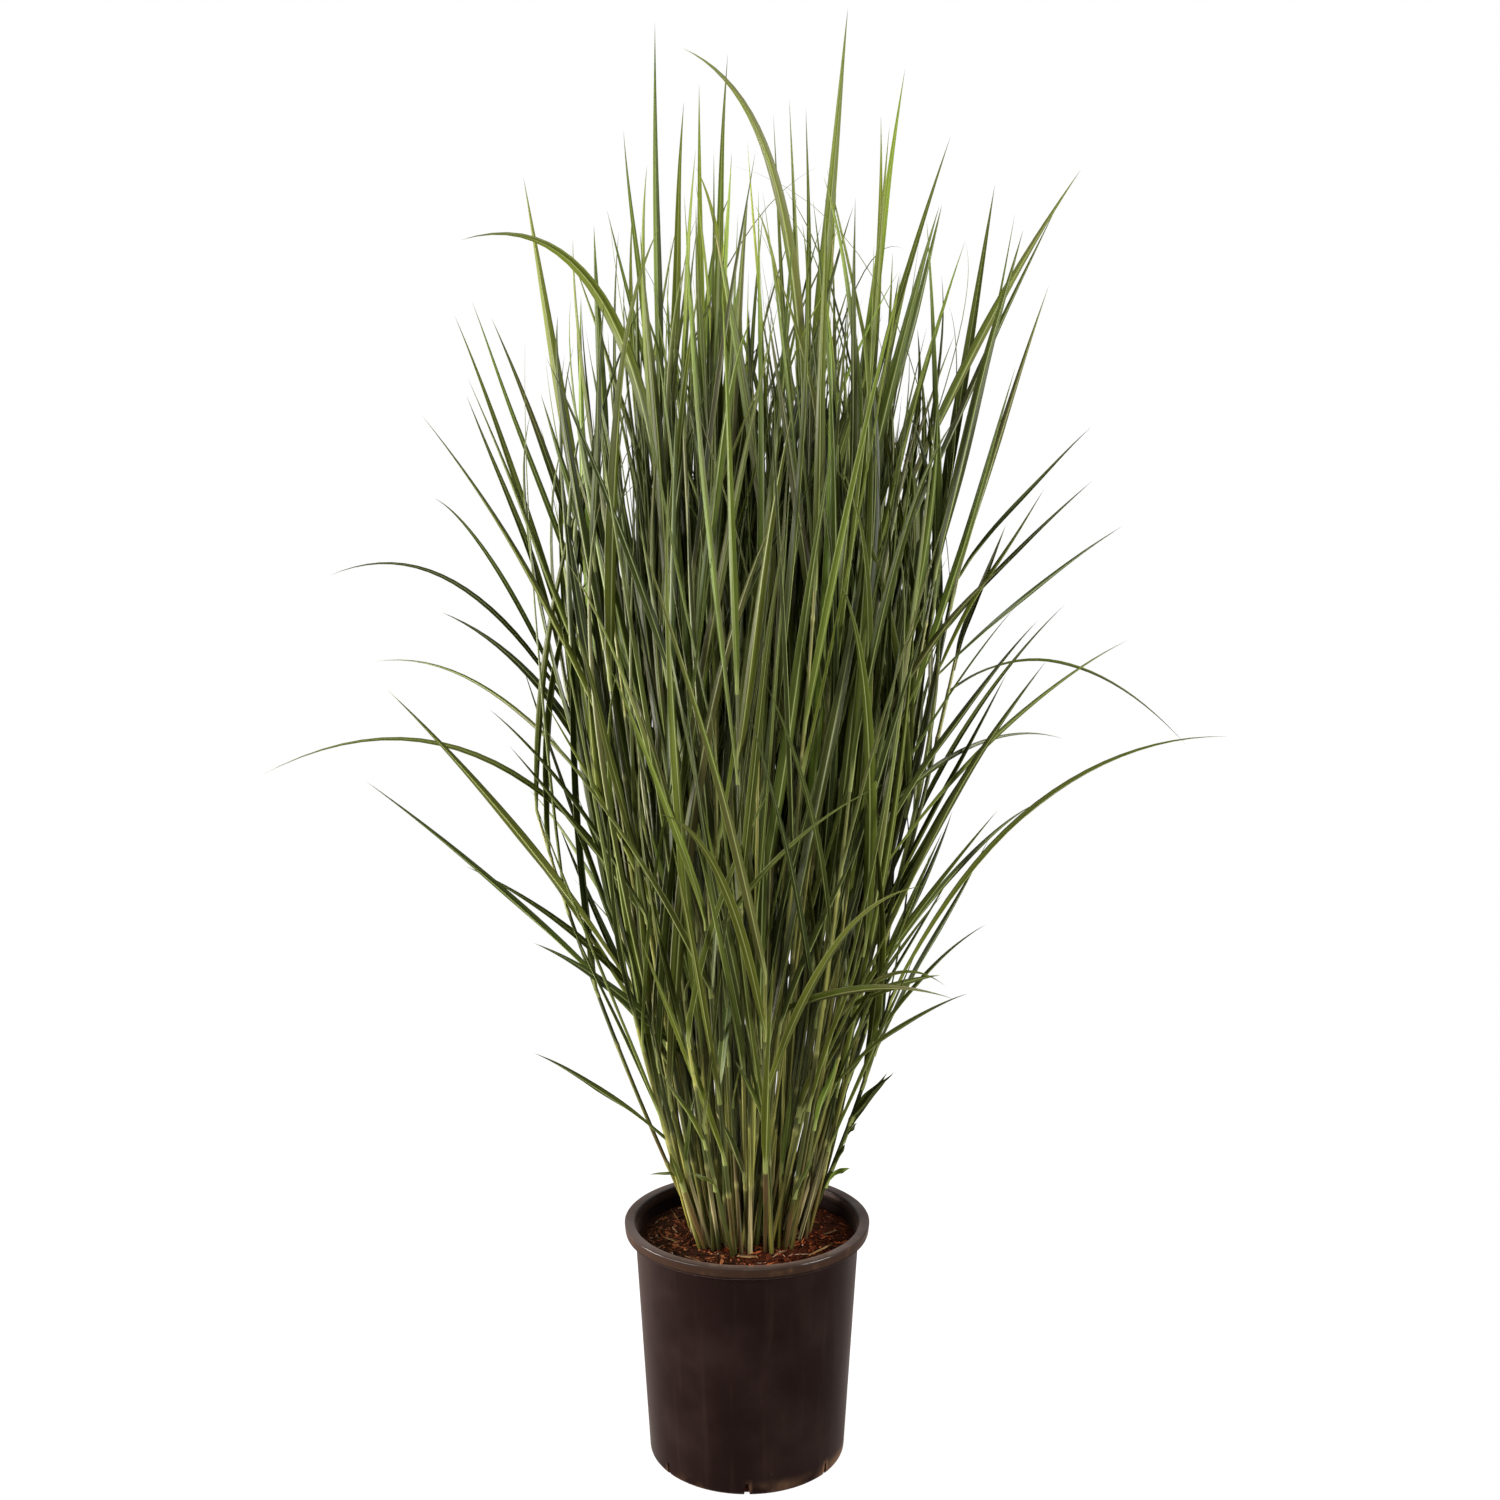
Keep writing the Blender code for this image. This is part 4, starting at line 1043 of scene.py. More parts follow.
class SWITCHGRASS_OT_soil(bpy.types.Operator):
    """Fill the pot with growing mix"""
    bl_idname = "switchgrass.soil"
    bl_label = "Growing mix"

    def execute(self, context):
        bm = bmesh.new()
        edge = wall_radius(SOIL_EDGE) - WALL - GAP
        rings = [ring_at(bm, edge * index / SOIL_RINGS) for index in range(1, SOIL_RINGS + 1)]
        rings.append(ring_at(bm, wall_radius(FLOOR) - WALL - GAP, FLOOR + GAP))
        bridge(bm, rings)
        middle = bm.verts.new((0, 0, soil_height(0, 0)))
        bottom = bm.verts.new((0, 0, FLOOR + GAP))
        for spoke in range(SOIL_SPOKES):
            after = (spoke + 1) % SOIL_SPOKES
            bm.faces.new((middle, rings[0][spoke], rings[0][after]))
            bm.faces.new((bottom, rings[-1][after], rings[-1][spoke]))
        mesh = mesh_from(bm, "mix")
        mesh.materials.append(soil_finish(context.scene.switchgrass_soil))
        mesh.shade_smooth()
        mesh.set_sharp_from_angle(angle=math.radians(50))
        add_piece("growing_mix", mesh, "soil")
        return {"FINISHED"}


def litter_tree():
    """Scatters small lumps over a surface. Each is a ball stretched to its own length, width
    and height, then roughened, with a tone of its own."""
    tree, net, start = geometry_net("litter", {
        "Density": "NodeSocketFloat", "Seed": "NodeSocketInt", "Length": "NodeSocketFloat",
        "Width": "NodeSocketFloat", "Height": "NodeSocketFloat", "Tilt": "NodeSocketFloat",
        "Roughness": "NodeSocketFloat", "Finish": "NodeSocketMaterial"})
    seed = start.sibling("Seed")
    scatter = net.node("GeometryNodeDistributePointsOnFaces", {"distribute_method": "RANDOM"},
                       {"Mesh": start, "Density": start.sibling("Density"), "Seed": seed})
    ball = net.node("GeometryNodeMeshIcoSphere", {}, {"Radius": 1.0, "Subdivisions": 2})

    def drawn(low, high, salt):
        return net.node("FunctionNodeRandomValue", {"data_type": "FLOAT"},
                        {2: low, 3: high, "Seed": seed + salt}, output=1)

    tilt = start.sibling("Tilt")
    turn = net.vector(drawn(-1.0, 1.0, 1) * tilt, drawn(-1.0, 1.0, 2) * tilt,
                      drawn(0.0, 2 * math.pi, 3))
    size = net.vector(start.sibling("Length") * drawn(0.35, 1.0, 4),
                      start.sibling("Width") * drawn(0.5, 1.0, 5),
                      start.sibling("Height") * drawn(0.6, 1.0, 6))
    lumps = net.node("GeometryNodeInstanceOnPoints", {}, {
        "Points": scatter, "Instance": ball, "Rotation": turn, "Scale": size})
    toned = stored(net, lumps, "own_tone", drawn(0.0, 1.0, 7) ** 2.0, "FLOAT", "INSTANCE")
    real = net.node("GeometryNodeRealizeInstances", {}, {"Geometry": toned})
    place = net.node("GeometryNodeInputPosition")
    shake = net.node("ShaderNodeTexNoise", {}, {"Vector": place, "Scale": 260.0,
                                                "Detail": 2.0}, output="Color")
    rough = net.node("GeometryNodeSetPosition", {}, {
        "Geometry": real, "Offset": (shake - 0.5) * start.sibling("Roughness")})
    mapped = stored(net, rough, "tone", net.vector(named(net, "own_tone"), 0.0, 0.0))
    finished(net, mapped, [(start.sibling("Finish"), None)])
    return tree


def litter_ground():
    """The part of the mix's surface that litter lies on."""
    bm = bmesh.new()
    inner, outer = LITTER_REACH
    bridge(bm, [ring_at(bm, inner + (outer - inner) * index / LITTER_RINGS)
                for index in range(LITTER_RINGS + 1)])
    return mesh_from(bm, "litter_ground")


def fallen_leaf(name, start, end, width, finish):
    """A dry leaf or straw that lies on the mix, bowed and a little cupped."""
    bm = bmesh.new()
    along = (end - start).normalized()
    side = along.cross(Vector((0, 0, 1))).normalized()
    rings = []
    for index in range(1, FALLEN_RINGS):
        share = index / FALLEN_RINGS
        swell = math.sin(math.pi * share)
        middle = start.lerp(end, share) + side * (width * 0.5 * swell * swell)
        middle.z += swell * FALLEN_LIFT
        reach = side * (width / 2 * swell ** 0.7)
        rings.append([bm.verts.new(middle + reach * across + Vector((0, 0, up * width)))
                      for across, up in ((-1, 0.22), (0, 0.04), (1, 0.22), (0, -0.06))])
    bridge(bm, rings)
    for ring, place in ((rings[0], start), (rings[-1], end)):
        tip = bm.verts.new(place)
        for corner in range(4):
            bm.faces.new((ring[corner], ring[(corner + 1) % 4], tip))
    mesh = mesh_from(bm, name)
    faces_out(mesh)
    mesh.materials.append(finish)
    mesh.shade_smooth()
    add_piece(name, mesh)


class SWITCHGRASS_OT_litter(bpy.types.Operator):
    """Scatter bark chips, coir fibres and perlite over the mix"""
    bl_idname = "switchgrass.litter"
    bl_label = "Chips, fibres and perlite"

    def execute(self, context):
        settings = context.scene.switchgrass_soil
        finishes = {name: plain_finish(name) for name in PLAIN_LITTER}
        finishes["bark_chips"] = chip_finish(settings)
        tree = litter_tree()
        for name, setting, share, seed, (length, width, height), tilt, rough, finish in LITTER:
            mesh = through_nodes(name, litter_ground(), tree, {
                "Density": getattr(settings, setting) * share, "Seed": seed, "Length": length,
                "Width": width, "Height": height, "Tilt": tilt, "Roughness": rough,
                "Finish": finishes[finish]})
            drop_attributes(mesh, ("own_tone",))
            add_piece(name, mesh)
        for number, (start, end, width) in enumerate(FALLEN):
            fallen_leaf(f"fallen_leaf_{number + 1}", Vector(start), Vector(end), width,
                        finishes["dead_leaf"])
        return {"FINISHED"}


# Paths of stems and blades, as in the solid model

def curve_point(curve, share):
    start, control, end = curve
    back = 1 - share
    return start * back ** 2 + control * (2 * share * back) + end * share ** 2


def curve_direction(curve, share):
    start, control, end = curve
    return ((control - start) * (1 - share) + (end - control) * share).normalized()


def culm_curve(foot, top):
    across, up = CULM_BOW
    control = Vector((foot.x + (top.x - foot.x) * across, foot.y + (top.y - foot.y) * across,
                      foot.z + (top.z - foot.z) * up))
    return foot, control, top


def culm_radius(share):
    return CULM_RADIUS + (CULM_TOP_RADIUS - CULM_RADIUS) * share


def blade_curve(culm, blade):
    """The blade leaves along the stem and leans out to its tip: arch 0 is a straight line."""
    share, tip, arch = blade[:3]
    root = curve_point(culm, share)
    chord = tip - root
    outward = Vector((chord.x, chord.y, 0)).normalized()
    leave = curve_direction(culm, share)
    if share < 1:
        leave = (leave + outward * BLADE_ROOT_LEAN).normalized()
        root = root + outward * culm_radius(share)
    control = root + chord * (0.5 * (1 - arch)) + leave * (chord.length * arch)
    return root, control, tip


def blade_width(share, width):
    """Widest at about a third of the length, then tapering in one long curve to the tip."""
    if share < WIDTH_SWELL:
        swell = math.sin(share / WIDTH_SWELL * math.pi / 2)
        return width * (ROOT_WIDTH + (1 - ROOT_WIDTH) * swell)
    rest = (share - WIDTH_SWELL) / (1 - WIDTH_SWELL)
    return width * (1 - rest ** TAPER)


def front_twist(culm, blade, start_azimuth):
    """The twist that turns a blade's width most of the way to the front."""
    direction = curve_direction(blade_curve(culm, blade), 0.5)
    wanted = direction.cross(Vector((0, 1, 0))).normalized()
    across = square_to(level_across(start_azimuth), direction)
    angle = math.atan2(across.cross(wanted).dot(direction), across.dot(wanted))
    if abs(angle) > math.pi / 2:
        angle -= math.copysign(math.pi, angle)
    return angle * SHOWN_SHARE


def turned_about(vector, axis, angle):
    return (vector * math.cos(angle) + axis.cross(vector) * math.sin(angle)
            + axis * (axis.dot(vector) * (1 - math.cos(angle))))


def square_to(vector, direction):
    return (vector - direction * vector.dot(direction)).normalized()


def level_across(azimuth):
    return Vector((-math.sin(azimuth), math.cos(azimuth), 0))


def blade_sections(culm, blade, start_azimuth):
    """The blade's cross-sections: centre, direction along its width, direction out of its
    underside, and width. The tip, where the curve ends, comes after the last one."""
    _, _, arch, width, twist = blade
    curve = blade_curve(culm, blade)
    across = level_across(start_azimuth)
    sections = []
    for share in ARCHED_STATIONS if arch > ARCHED else PLAIN_STATIONS:
        direction = curve_direction(curve, share)
        across = square_to(across, direction)
        turned_across = turned_about(across, direction, twist * min(1.0, share / TWIST_SHARE))
        sections.append((curve_point(curve, share), turned_across,
                         turned_across.cross(direction), blade_width(share, width)))
    return sections, curve


def azimuth_of(vector):
    return math.atan2(vector.y, vector.x)


# Where every solid tiller stands, as in the solid model

class Clearance:
    """Points on every stem and blade placed so far, each with the tiller that it belongs to."""

    def __init__(self):
        self.points = []
        self.owners = []
        self.tree = None

    def add(self, points, owner):
        self.points += points
        self.owners += [owner] * len(points)
        self.tree = kdtree.KDTree(len(self.points))
        for index, point in enumerate(self.points):
            self.tree.insert(point, index)
        self.tree.balance()

    def blocked(self, points, owner, root):
        for point in points:
            for _, index, distance in self.tree.find_range(point, CLEAR):
                if self.owners[index] != owner:
                    return True
                if distance < OWN_CLEAR and (point - root).length > OWN_ROOT:
                    return True
        return False


def spread(start, end, step):
    count = max(1, math.ceil((end - start).length / step))
    return [start.lerp(end, index / count) for index in range(count + 1)]


def culm_samples(curve):
    count = math.ceil((curve[2] - curve[0]).length / SAMPLE_STEP)
    points = []
    for index in range(count + 1):
        share = index / count
        centre = curve_point(curve, share)
        for turn in range(4):
            angle = math.pi / 2 * turn
            side = Vector((math.cos(angle), math.sin(angle), 0)) * culm_radius(share)
            points.append(centre + side)
    return points


def blade_samples(sections, curve):
    edges = [(curve[0], curve[0])]
    for centre, across, _, width in sections:
        edges.append((centre - across * (width / 2), centre + across * (width / 2)))
    edges.append((curve[2], curve[2]))
    points = []
    for (left, right), (next_left, next_right) in zip(edges, edges[1:]):
        left_line = spread(left, next_left, SAMPLE_STEP)
        for index, place in enumerate(left_line):
            share = index / (len(left_line) - 1)
            points += spread(place, right.lerp(next_right, share), SAMPLE_STEP)
    return points


def feet_spots():
    """Even spots for the feet, in the spiral of a sunflower's head."""
    spots = []
    for index in range(TILLER_COUNT):
        reach = FEET_RADIUS * math.sqrt((index + 0.5) / TILLER_COUNT)
        angle = index * GOLDEN_ANGLE
        spots.append(Vector((reach * math.cos(angle), reach * math.sin(angle),
                             CROWN_HEIGHT + GAP)))
    return spots


def fan_place(top):
    """Where a stem passes the height at which the clump's lowest stems end."""
    foot = Vector((top.x, top.y, 0)).normalized() * (FEET_RADIUS * 0.7)
    foot.z = CROWN_HEIGHT + GAP
    return curve_point(culm_curve(foot, top), (FAN_HEIGHT - foot.z) / (top.z - foot.z))


def shared_feet(tops):
    """Gives every stem a foot. Two stems swap feet while that shortens their way out, which
    ends with a fan in which no two stems cross."""
    places = [fan_place(top) for top in tops]
    feet = feet_spots()

    def cost(place, foot):
        return (place.x - foot.x) ** 2 + (place.y - foot.y) ** 2

    swapped = True
    while swapped:
        swapped = False
        for one in range(len(tops)):
            for two in range(one):
                now = cost(places[one], feet[one]) + cost(places[two], feet[two])
                then = cost(places[one], feet[two]) + cost(places[two], feet[one])
                if then < now - 1e-9:
                    feet[one], feet[two] = feet[two], feet[one]
                    swapped = True
    return feet


def polar(angle, reach, height):
    return Vector((reach * math.cos(angle), reach * math.sin(angle), height))


def fill_tops(draw):
    """Stem tops that round the clump out to the front, to the back and at its core."""
    count = TILLER_COUNT - len(OUTLINE_TILLERS) - CORE_COUNT
    tops = []
    for index in range(count):
        low, high = FILL_FRONT if index % 2 else FILL_BACK
        share = (index // 2 + 0.5) / (count // 2)
        angle = math.radians(low + (high - low) * share + draw.uniform(-FILL_TURN, FILL_TURN))
        height = FILL_HEIGHTS[(index // 2) % len(FILL_HEIGHTS)]
        height += draw.uniform(-FILL_RISE, FILL_RISE)
        spread_out = draw.random() * min(1.0, height / FILL_FULL_HEIGHT)
        tops.append(polar(angle, FILL_NEAR + FILL_SPREAD * spread_out, height))
    for index in range(CORE_COUNT):
        tops.append(polar(math.pi / 2 * index + CORE_TURN, CORE_REACH,
                          CORE_LOWEST + CORE_STEP * index))
    return tops


def drawn_blade(culm, share, size, draw):
    """A blade of a fill tiller, low ones short and leaning out, high ones long and steep."""
    root = curve_point(culm, share)
    angle = azimuth_of(culm[2]) + draw.gauss(0, SIDE_SPREAD)
    length = size * draw.uniform(*(LONG_BLADE if share > 0.5 else SHORT_BLADE))
    steepening = HIGH_STEEPENING * max(0.0, (root.z - 0.5) / 0.5)
    steep = math.radians(min(STEEPEST, draw.uniform(*STEEPNESS) + steepening))
    tip = root + polar(angle, length * math.cos(steep), length * math.sin(steep))
    twist = draw.uniform(-1, 1) * LOOSE_TWIST
    return share, tip, draw.choice(ARCHES), draw.uniform(*BLADE_WIDTHS), twist


def place_blade(culm, blade, azimuth, clearance, owner):
    """Says whether the blade's place is free, and takes it if it is."""
    sections, curve = blade_sections(culm, blade, azimuth(blade[1]))
    points = blade_samples(sections, curve)
    if clearance.blocked(points, owner, curve[0]):
        return False
    clearance.add(points, owner)
    return True


def place_outline_blade(culm, blade, azimuth, clearance, owner, draw):
    """Keeps the blade's tip where the front view shows it, and moves it mostly in depth."""
    share, tip, arch, width = blade
    for attempt in range(OUTLINE_TRIES):
        slip = attempt / OUTLINE_TRIES
        shift = Vector((draw.uniform(-1, 1) * TIP_SLIP, draw.uniform(-1, 1) * DEPTH_SLIP,
                        draw.uniform(-1, 1) * TIP_SLIP)) * slip
        root = share if share == 1 else share + draw.uniform(-1, 1) * ROOT_SLIP * slip
        moved = (root, Vector(tip) + shift, arch, width)
        moved += (front_twist(culm, moved, azimuth(moved[1])),)
        if place_blade(culm, moved, azimuth, clearance, owner):
            return moved
    raise RuntimeError(f"no free place for a blade of tiller {owner + 1} ending at {tip}")


def inside_front_outline(tip):
    """Whether the viewer sees this tip inside the body of the clump."""
    nearness = VIEWER_DISTANCE / (VIEWER_DISTANCE + tip.y)
    across = tip.x * nearness
    height = VIEWER_HEIGHT + (tip.z - VIEWER_HEIGHT) * nearness
    return (across / BODY_REACH) ** 2 + ((height - BODY_MIDDLE) / BODY_RISE) ** 2 < 1


def place_fill_blade(culm, share, azimuth, clearance, owner, draw):
    for attempt in range(REDRAWS):
        size = 1 - SHRINK * attempt / REDRAWS
        blade = drawn_blade(culm, share, size, draw)
        if inside_front_outline(blade[1]) and place_blade(culm, blade, azimuth, clearance, owner):
            return blade
    raise RuntimeError(f"no free place for a blade of fill tiller {owner + 1} at {share}")


def place_culm(foot, top, clearance, owner, draw):
    """Moves the stem's top, mostly in depth, until the whole stem clears the others."""
    for attempt in range(REDRAWS):
        slip = CULM_SLIP * attempt
        moved = top + Vector((draw.uniform(-slip, slip) / 4, draw.uniform(-slip, slip), 0))
        curve = culm_curve(foot, moved)
        points = culm_samples(curve)
        if clearance.tree is None or not clearance.blocked(points, owner, foot):
            clearance.add(points, owner)
            return curve
    raise RuntimeError(f"no free place for the stem of tiller {owner + 1}")


def face_azimuth(main, top):
    """The stem has four sides, one of them towards its end blade: a blade leaves the nearest."""
    def nearest(tip):
        quarter = round((azimuth_of(tip - top) - main) / (math.pi / 2))
        return main + quarter * math.pi / 2
    return nearest


def plan_clump():
    """Every tiller's stem curve, main azimuth and blades, all clear of each other."""
    draw = random.Random(SEED)
    clearance = Clearance()
    tops = [Vector(top) for top, _ in OUTLINE_TILLERS] + fill_tops(draw)
    feet = shared_feet(tops)
    culms = [place_culm(feet[index], tops[index], clearance, index, draw)
             for index in range(TILLER_COUNT)]
    tillers = []
    for index, (_, blades) in enumerate(OUTLINE_TILLERS):
        main = azimuth_of(Vector(blades[0][1]) - culms[index][2])
        azimuth = face_azimuth(main, culms[index][2])
        placed = [place_outline_blade(culms[index], blade, azimuth, clearance, index, draw)
                  for blade in blades]
        tillers.append((culms[index], main, placed))
    for index in range(len(OUTLINE_TILLERS), TILLER_COUNT):
        culm = culms[index]
        main = azimuth_of(culm[2])
        azimuth = face_azimuth(main, culm[2])
        placed = [place_fill_blade(culm, draw.uniform(*shares), azimuth, clearance, index, draw)
                  for shares in FILL_SHARES[:4 - index % 2]]
        tillers.append((culm, main, placed))
    return tillers


# Fine stems and blades

class Paths:
    """Lines of points that the tiller tree sweeps into stems and blades. At each point it needs
    to know the directions across and out of the underside, half the width, how strongly the
    blade curls and folds, and what colours it."""

    NUMBERS = ("kind", "half", "curl", "fold", "along", "tint", "mark")
    VECTORS = ("centre", "across", "under")

    def __init__(self):
        self.stations = []
        self.edges = []

    def add(self, line):
        first = len(self.stations)
        self.stations += line
        self.edges += [(index, index + 1) for index in range(first, len(self.stations) - 1)]

    def mesh(self, name):
        mesh = bpy.data.meshes.new(name)
        mesh.from_pydata([station["centre"] for station in self.stations], self.edges, [])
        for field in self.NUMBERS:
            layer = mesh.attributes.new(field, "FLOAT", "POINT")
            layer.data.foreach_set("value", [station[field] for station in self.stations])
        for field in self.VECTORS:
            layer = mesh.attributes.new(field, "FLOAT_VECTOR", "POINT")
            flat = [number for station in self.stations for number in station[field]]
            layer.data.foreach_set("vector", flat)
        return mesh


def tiller_tree():
    """Sweeps paths into round stems and thin blades."""
    tree, net, start = geometry_net("tiller", {
        "Stem Sides": "NodeSocketInt", "Blade Sides": "NodeSocketInt",
        "Thickness": "NodeSocketFloat", "Leaf": "NodeSocketMaterial",
        "Stem": "NodeSocketMaterial"})
    place = net.node("GeometryNodeInputPosition")
    ring = named(net, "ring", "FLOAT_VECTOR")
    side, lift = ring.part("X"), ring.part("Y")
    centre = named(net, "centre", "FLOAT_VECTOR")
    across = named(net, "across", "FLOAT_VECTOR")
    under = named(net, "under", "FLOAT_VECTOR")
    half = named(net, "half")
    is_blade = net.maths("GREATER_THAN", named(net, "kind"), 0.5)
    split = net.node("GeometryNodeSeparateGeometry", {"domain": "POINT"},
                     {"Geometry": start, "Selection": is_blade})

    def swept(paths, sides):
        circle = net.node("GeometryNodeCurvePrimitiveCircle", {},
                          {"Resolution": sides, "Radius": 1.0})
        profile = stored(net, circle, "ring", place, "FLOAT_VECTOR", "POINT")
        curve = net.node("GeometryNodeMeshToCurve", {}, {"Mesh": paths})
        return net.node("GeometryNodeCurveToMesh", {}, {
            "Curve": curve, "Profile Curve": profile, "Fill Caps": True})

    edge = net.maths("ABSOLUTE", side)
    curl = net.maths("MAXIMUM", named(net, "curl"), 0.5)
    angle = side * half * curl
    rib = net.maths("MAXIMUM", 1.0 - edge * RIB_NARROWNESS, 0.0) * RIB_RISE + 1.0
    thin = (start.sibling("Thickness") * 0.5
            * net.maths("MINIMUM", half * (1 / FULL_THICKNESS_HALF_WIDTH), 1.0))
    fold = named(net, "fold")
    sideways = net.maths("SINE", angle) / curl * net.maths("COSINE", fold)
    outwards = ((net.maths("COSINE", angle) - 1.0) / curl
                - edge * half * net.maths("SINE", fold) + lift * thin * rib)
    blades = net.node("GeometryNodeSetPosition", {}, {
        "Geometry": swept(split, start.sibling("Blade Sides")),
        "Position": centre + across * sideways + under * outwards})
    stems = net.node("GeometryNodeSetPosition", {}, {
        "Geometry": swept(split.sibling("Inverted"), start.sibling("Stem Sides")),
        "Position": centre + across * (side * half) + under * (lift * half)})
    joined = net.node("GeometryNodeJoinGeometry")
    for geometry in (blades, stems):
        net.feed(joined.socket.node.inputs[0], geometry)
    merged = net.node("GeometryNodeMergeByDistance", {},
                      {"Geometry": joined, "Distance": 0.00001})
    leaf_map = stored(net, merged, "leaf",
                      net.vector(side * 0.5 + 0.5, named(net, "along"), 0.0))
    tone_map = stored(net, leaf_map, "tone",
                      net.vector(named(net, "tint"), named(net, "mark"), 0.0))
    finished(net, tone_map, [
        (start.sibling("Leaf"), None),
        (start.sibling("Stem"), net.maths("LESS_THAN", named(net, "kind"), 0.5))])
    return tree


def smooth(value):
    value = min(1.0, max(0.0, value))
    return value * value * (3 - 2 * value)


def node_shares(length, draw):
    """Where the stem's nodes are, more closely spaced near the ground."""
    shares = []
    height = draw.uniform(*NODE_START)
    while height < length - LAST_NODE:
        shares.append(height / length)
        height += NODE_SPACE * draw.uniform(0.8, 1.3) * (0.65 + 0.35 * height / length)
    return shares


def stem_line(culm, size, collars, end_curve, draw):
    """A stem from its foot to a fine spear inside its end blade. It swells at each node and
    steps in above each collar."""
    length = (culm[2] - culm[0]).length
    nodes = node_shares(length, draw)
    shares = [index / math.ceil(length / STEM_STEP)
              for index in range(math.ceil(length / STEM_STEP) + 1)]
    for node in nodes:
        shares += [node + offset / length for offset in NODE_STATIONS]
    for collar in collars:
        shares += [collar + offset / length for offset in COLLAR_STATIONS]
    shares = sorted(share for share in shares if 0 <= share <= 1)
    shares = [share for share, after in zip(shares, shares[1:] + [2.0])
              if after - share > LEAST_STEP / length]
    tints = [draw.random() for _ in range(len(nodes) + 1)]
    across = level_across(draw.uniform(0, math.pi))
    line = []

    def station(place, direction, radius, along, mark):
        nonlocal across
        across = square_to(across, direction)
        tint = tints[sum(node * length < along for node in nodes)]
        line.append({"kind": 0.0, "centre": place, "across": across,
                     "under": across.cross(direction), "half": radius, "curl": 0.0,
                     "fold": 0.0, "along": along, "tint": tint, "mark": mark})

    for share in shares:
        near = min([abs(node - share) * length for node in nodes] + [1.0])
        swell = math.exp(-(near / NODE_LENGTH) ** 2)
        sheath = 0.0
        for collar in collars:
            below = (collar - share) * length
            if 0 < below < SHEATH_LENGTH:
                sheath = max(sheath, SHEATH * (1 - 0.5 * below / SHEATH_LENGTH))
        radius = (culm_radius(share) + sheath + NODE_SWELL * swell) * size
        station(curve_point(culm, share), curve_direction(culm, share), radius,
                share * length, math.exp(-(near / (NODE_LENGTH * 1.4)) ** 2))
    end_length = (end_curve[2] - end_curve[0]).length
    for part in SPEAR_PARTS:
        share = SPEAR * part / end_length
        station(curve_point(end_curve, share), curve_direction(end_curve, share),
                max(SPEAR_TIP, CULM_TOP_RADIUS * size * (1 - part)), length + SPEAR * part, 0.0)
    return line


def fine_width(share, width):
    """As wide as a solid blade at its root and middle, with a longer, finer tip."""
    rest = max(0.0, (share - WIDTH_SWELL) / (1 - WIDTH_SWELL))
    return min(blade_width(share, width), width * (1 - rest ** FINE_TAPER))


def blade_line(culm, blade, azimuth, size, rings, draw, tint=None):
    """A blade from its sheath's mouth to its tip. It starts rolled around the stem, unrolls and
    then runs on as a shallow fold."""
    share, _, _, width, twist = blade
    curve = blade_curve(culm, blade)
    length = (curve[2] - curve[0]).length
    stem_length = (culm[2] - culm[0]).length
    wrap = (culm_radius(share) + SHEATH) * size
    offset = curve[0] - curve_point(culm, share)
    fold = draw.uniform(*FOLDS)
    young = draw.random() < YOUNG_SHARE
    drawn_tint = draw.uniform(*YOUNG_TINT) if young else draw.gauss(*USUAL_TINT)
    tint = min(0.98, max(0.02, drawn_tint)) if tint is None else tint
    age = draw.uniform(*(BRONZE_AGE if draw.random() < BRONZE_SHARE else FRESH_AGE))
    age = draw.uniform(*WITHERED_AGE) if draw.random() < WITHERED_SHARE else age
    sway = [draw.uniform(-1, 1) * SWAY for _ in range(2)]
    phase = [draw.uniform(0, 2 * math.pi) for _ in range(2)]
    across = level_across(azimuth)
    start = min(UNROLL / length, UNROLL_SHARE)
    shares = [start * index / UNROLL_STATIONS for index in range(UNROLL_STATIONS)]
    count = rings - len(shares)
    shares += [start + (1 - start) * index / count for index in range(count + 1)]
    line = []
    mouth = max(0.0, share - SHEATH_MOUTH / stem_length)
    direction = curve_direction(culm, mouth)
    under = square_to(across, direction).cross(direction)
    line.append({"kind": 1.0, "centre": curve_point(culm, mouth) + under * (wrap * 0.96),
                 "across": square_to(across, direction), "under": under,
                 "half": wrap * 1.5, "curl": 1 / wrap, "fold": 0.0, "along": 0.0,
                 "tint": tint, "mark": age})
    for place in shares:
        direction = curve_direction(curve, place)
        across = square_to(across, direction)
        turned_across = turned_about(across, direction, twist * min(1.0, place / TWIST_SHARE))
        under = turned_across.cross(direction)
        rolled = 1 - smooth(place / start)
        swing = math.sin(math.pi * place)
        centre = curve_point(curve, place) + (under * wrap - offset) * rolled
        for way, amount, turns, begun in zip((turned_across, under), sway, SWAY_TURNS, phase):
            centre = centre + way * (amount * swing * math.sin(turns * place + begun))
        line.append({"kind": 1.0, "centre": centre, "across": turned_across, "under": under,
                     "half": fine_width(place, width) / 2, "curl": rolled / wrap,
                     "fold": fold * (1 - rolled), "along": place, "tint": tint, "mark": age})
    return line


class Room:
    """The small cells of space that stems and blades already fill. The first stations of a
    line don't count: a blade's lie against its own stem, and a stem's near its foot."""

    def __init__(self):
        self.cells = set()

    def touched(self, line):
        cells = set()
        for station in line:
            for side in (-0.9, 0.0, 0.9):
                point = station["centre"] + station["across"] * (station["half"] * side)
                cells.add(tuple(int(number // CELL) for number in point))
        return cells

    def take(self, line):
        self.cells |= self.touched(line)

    def crowding(self, line):
        return len(self.touched(line[CROWDED_FROM:]) & self.cells)


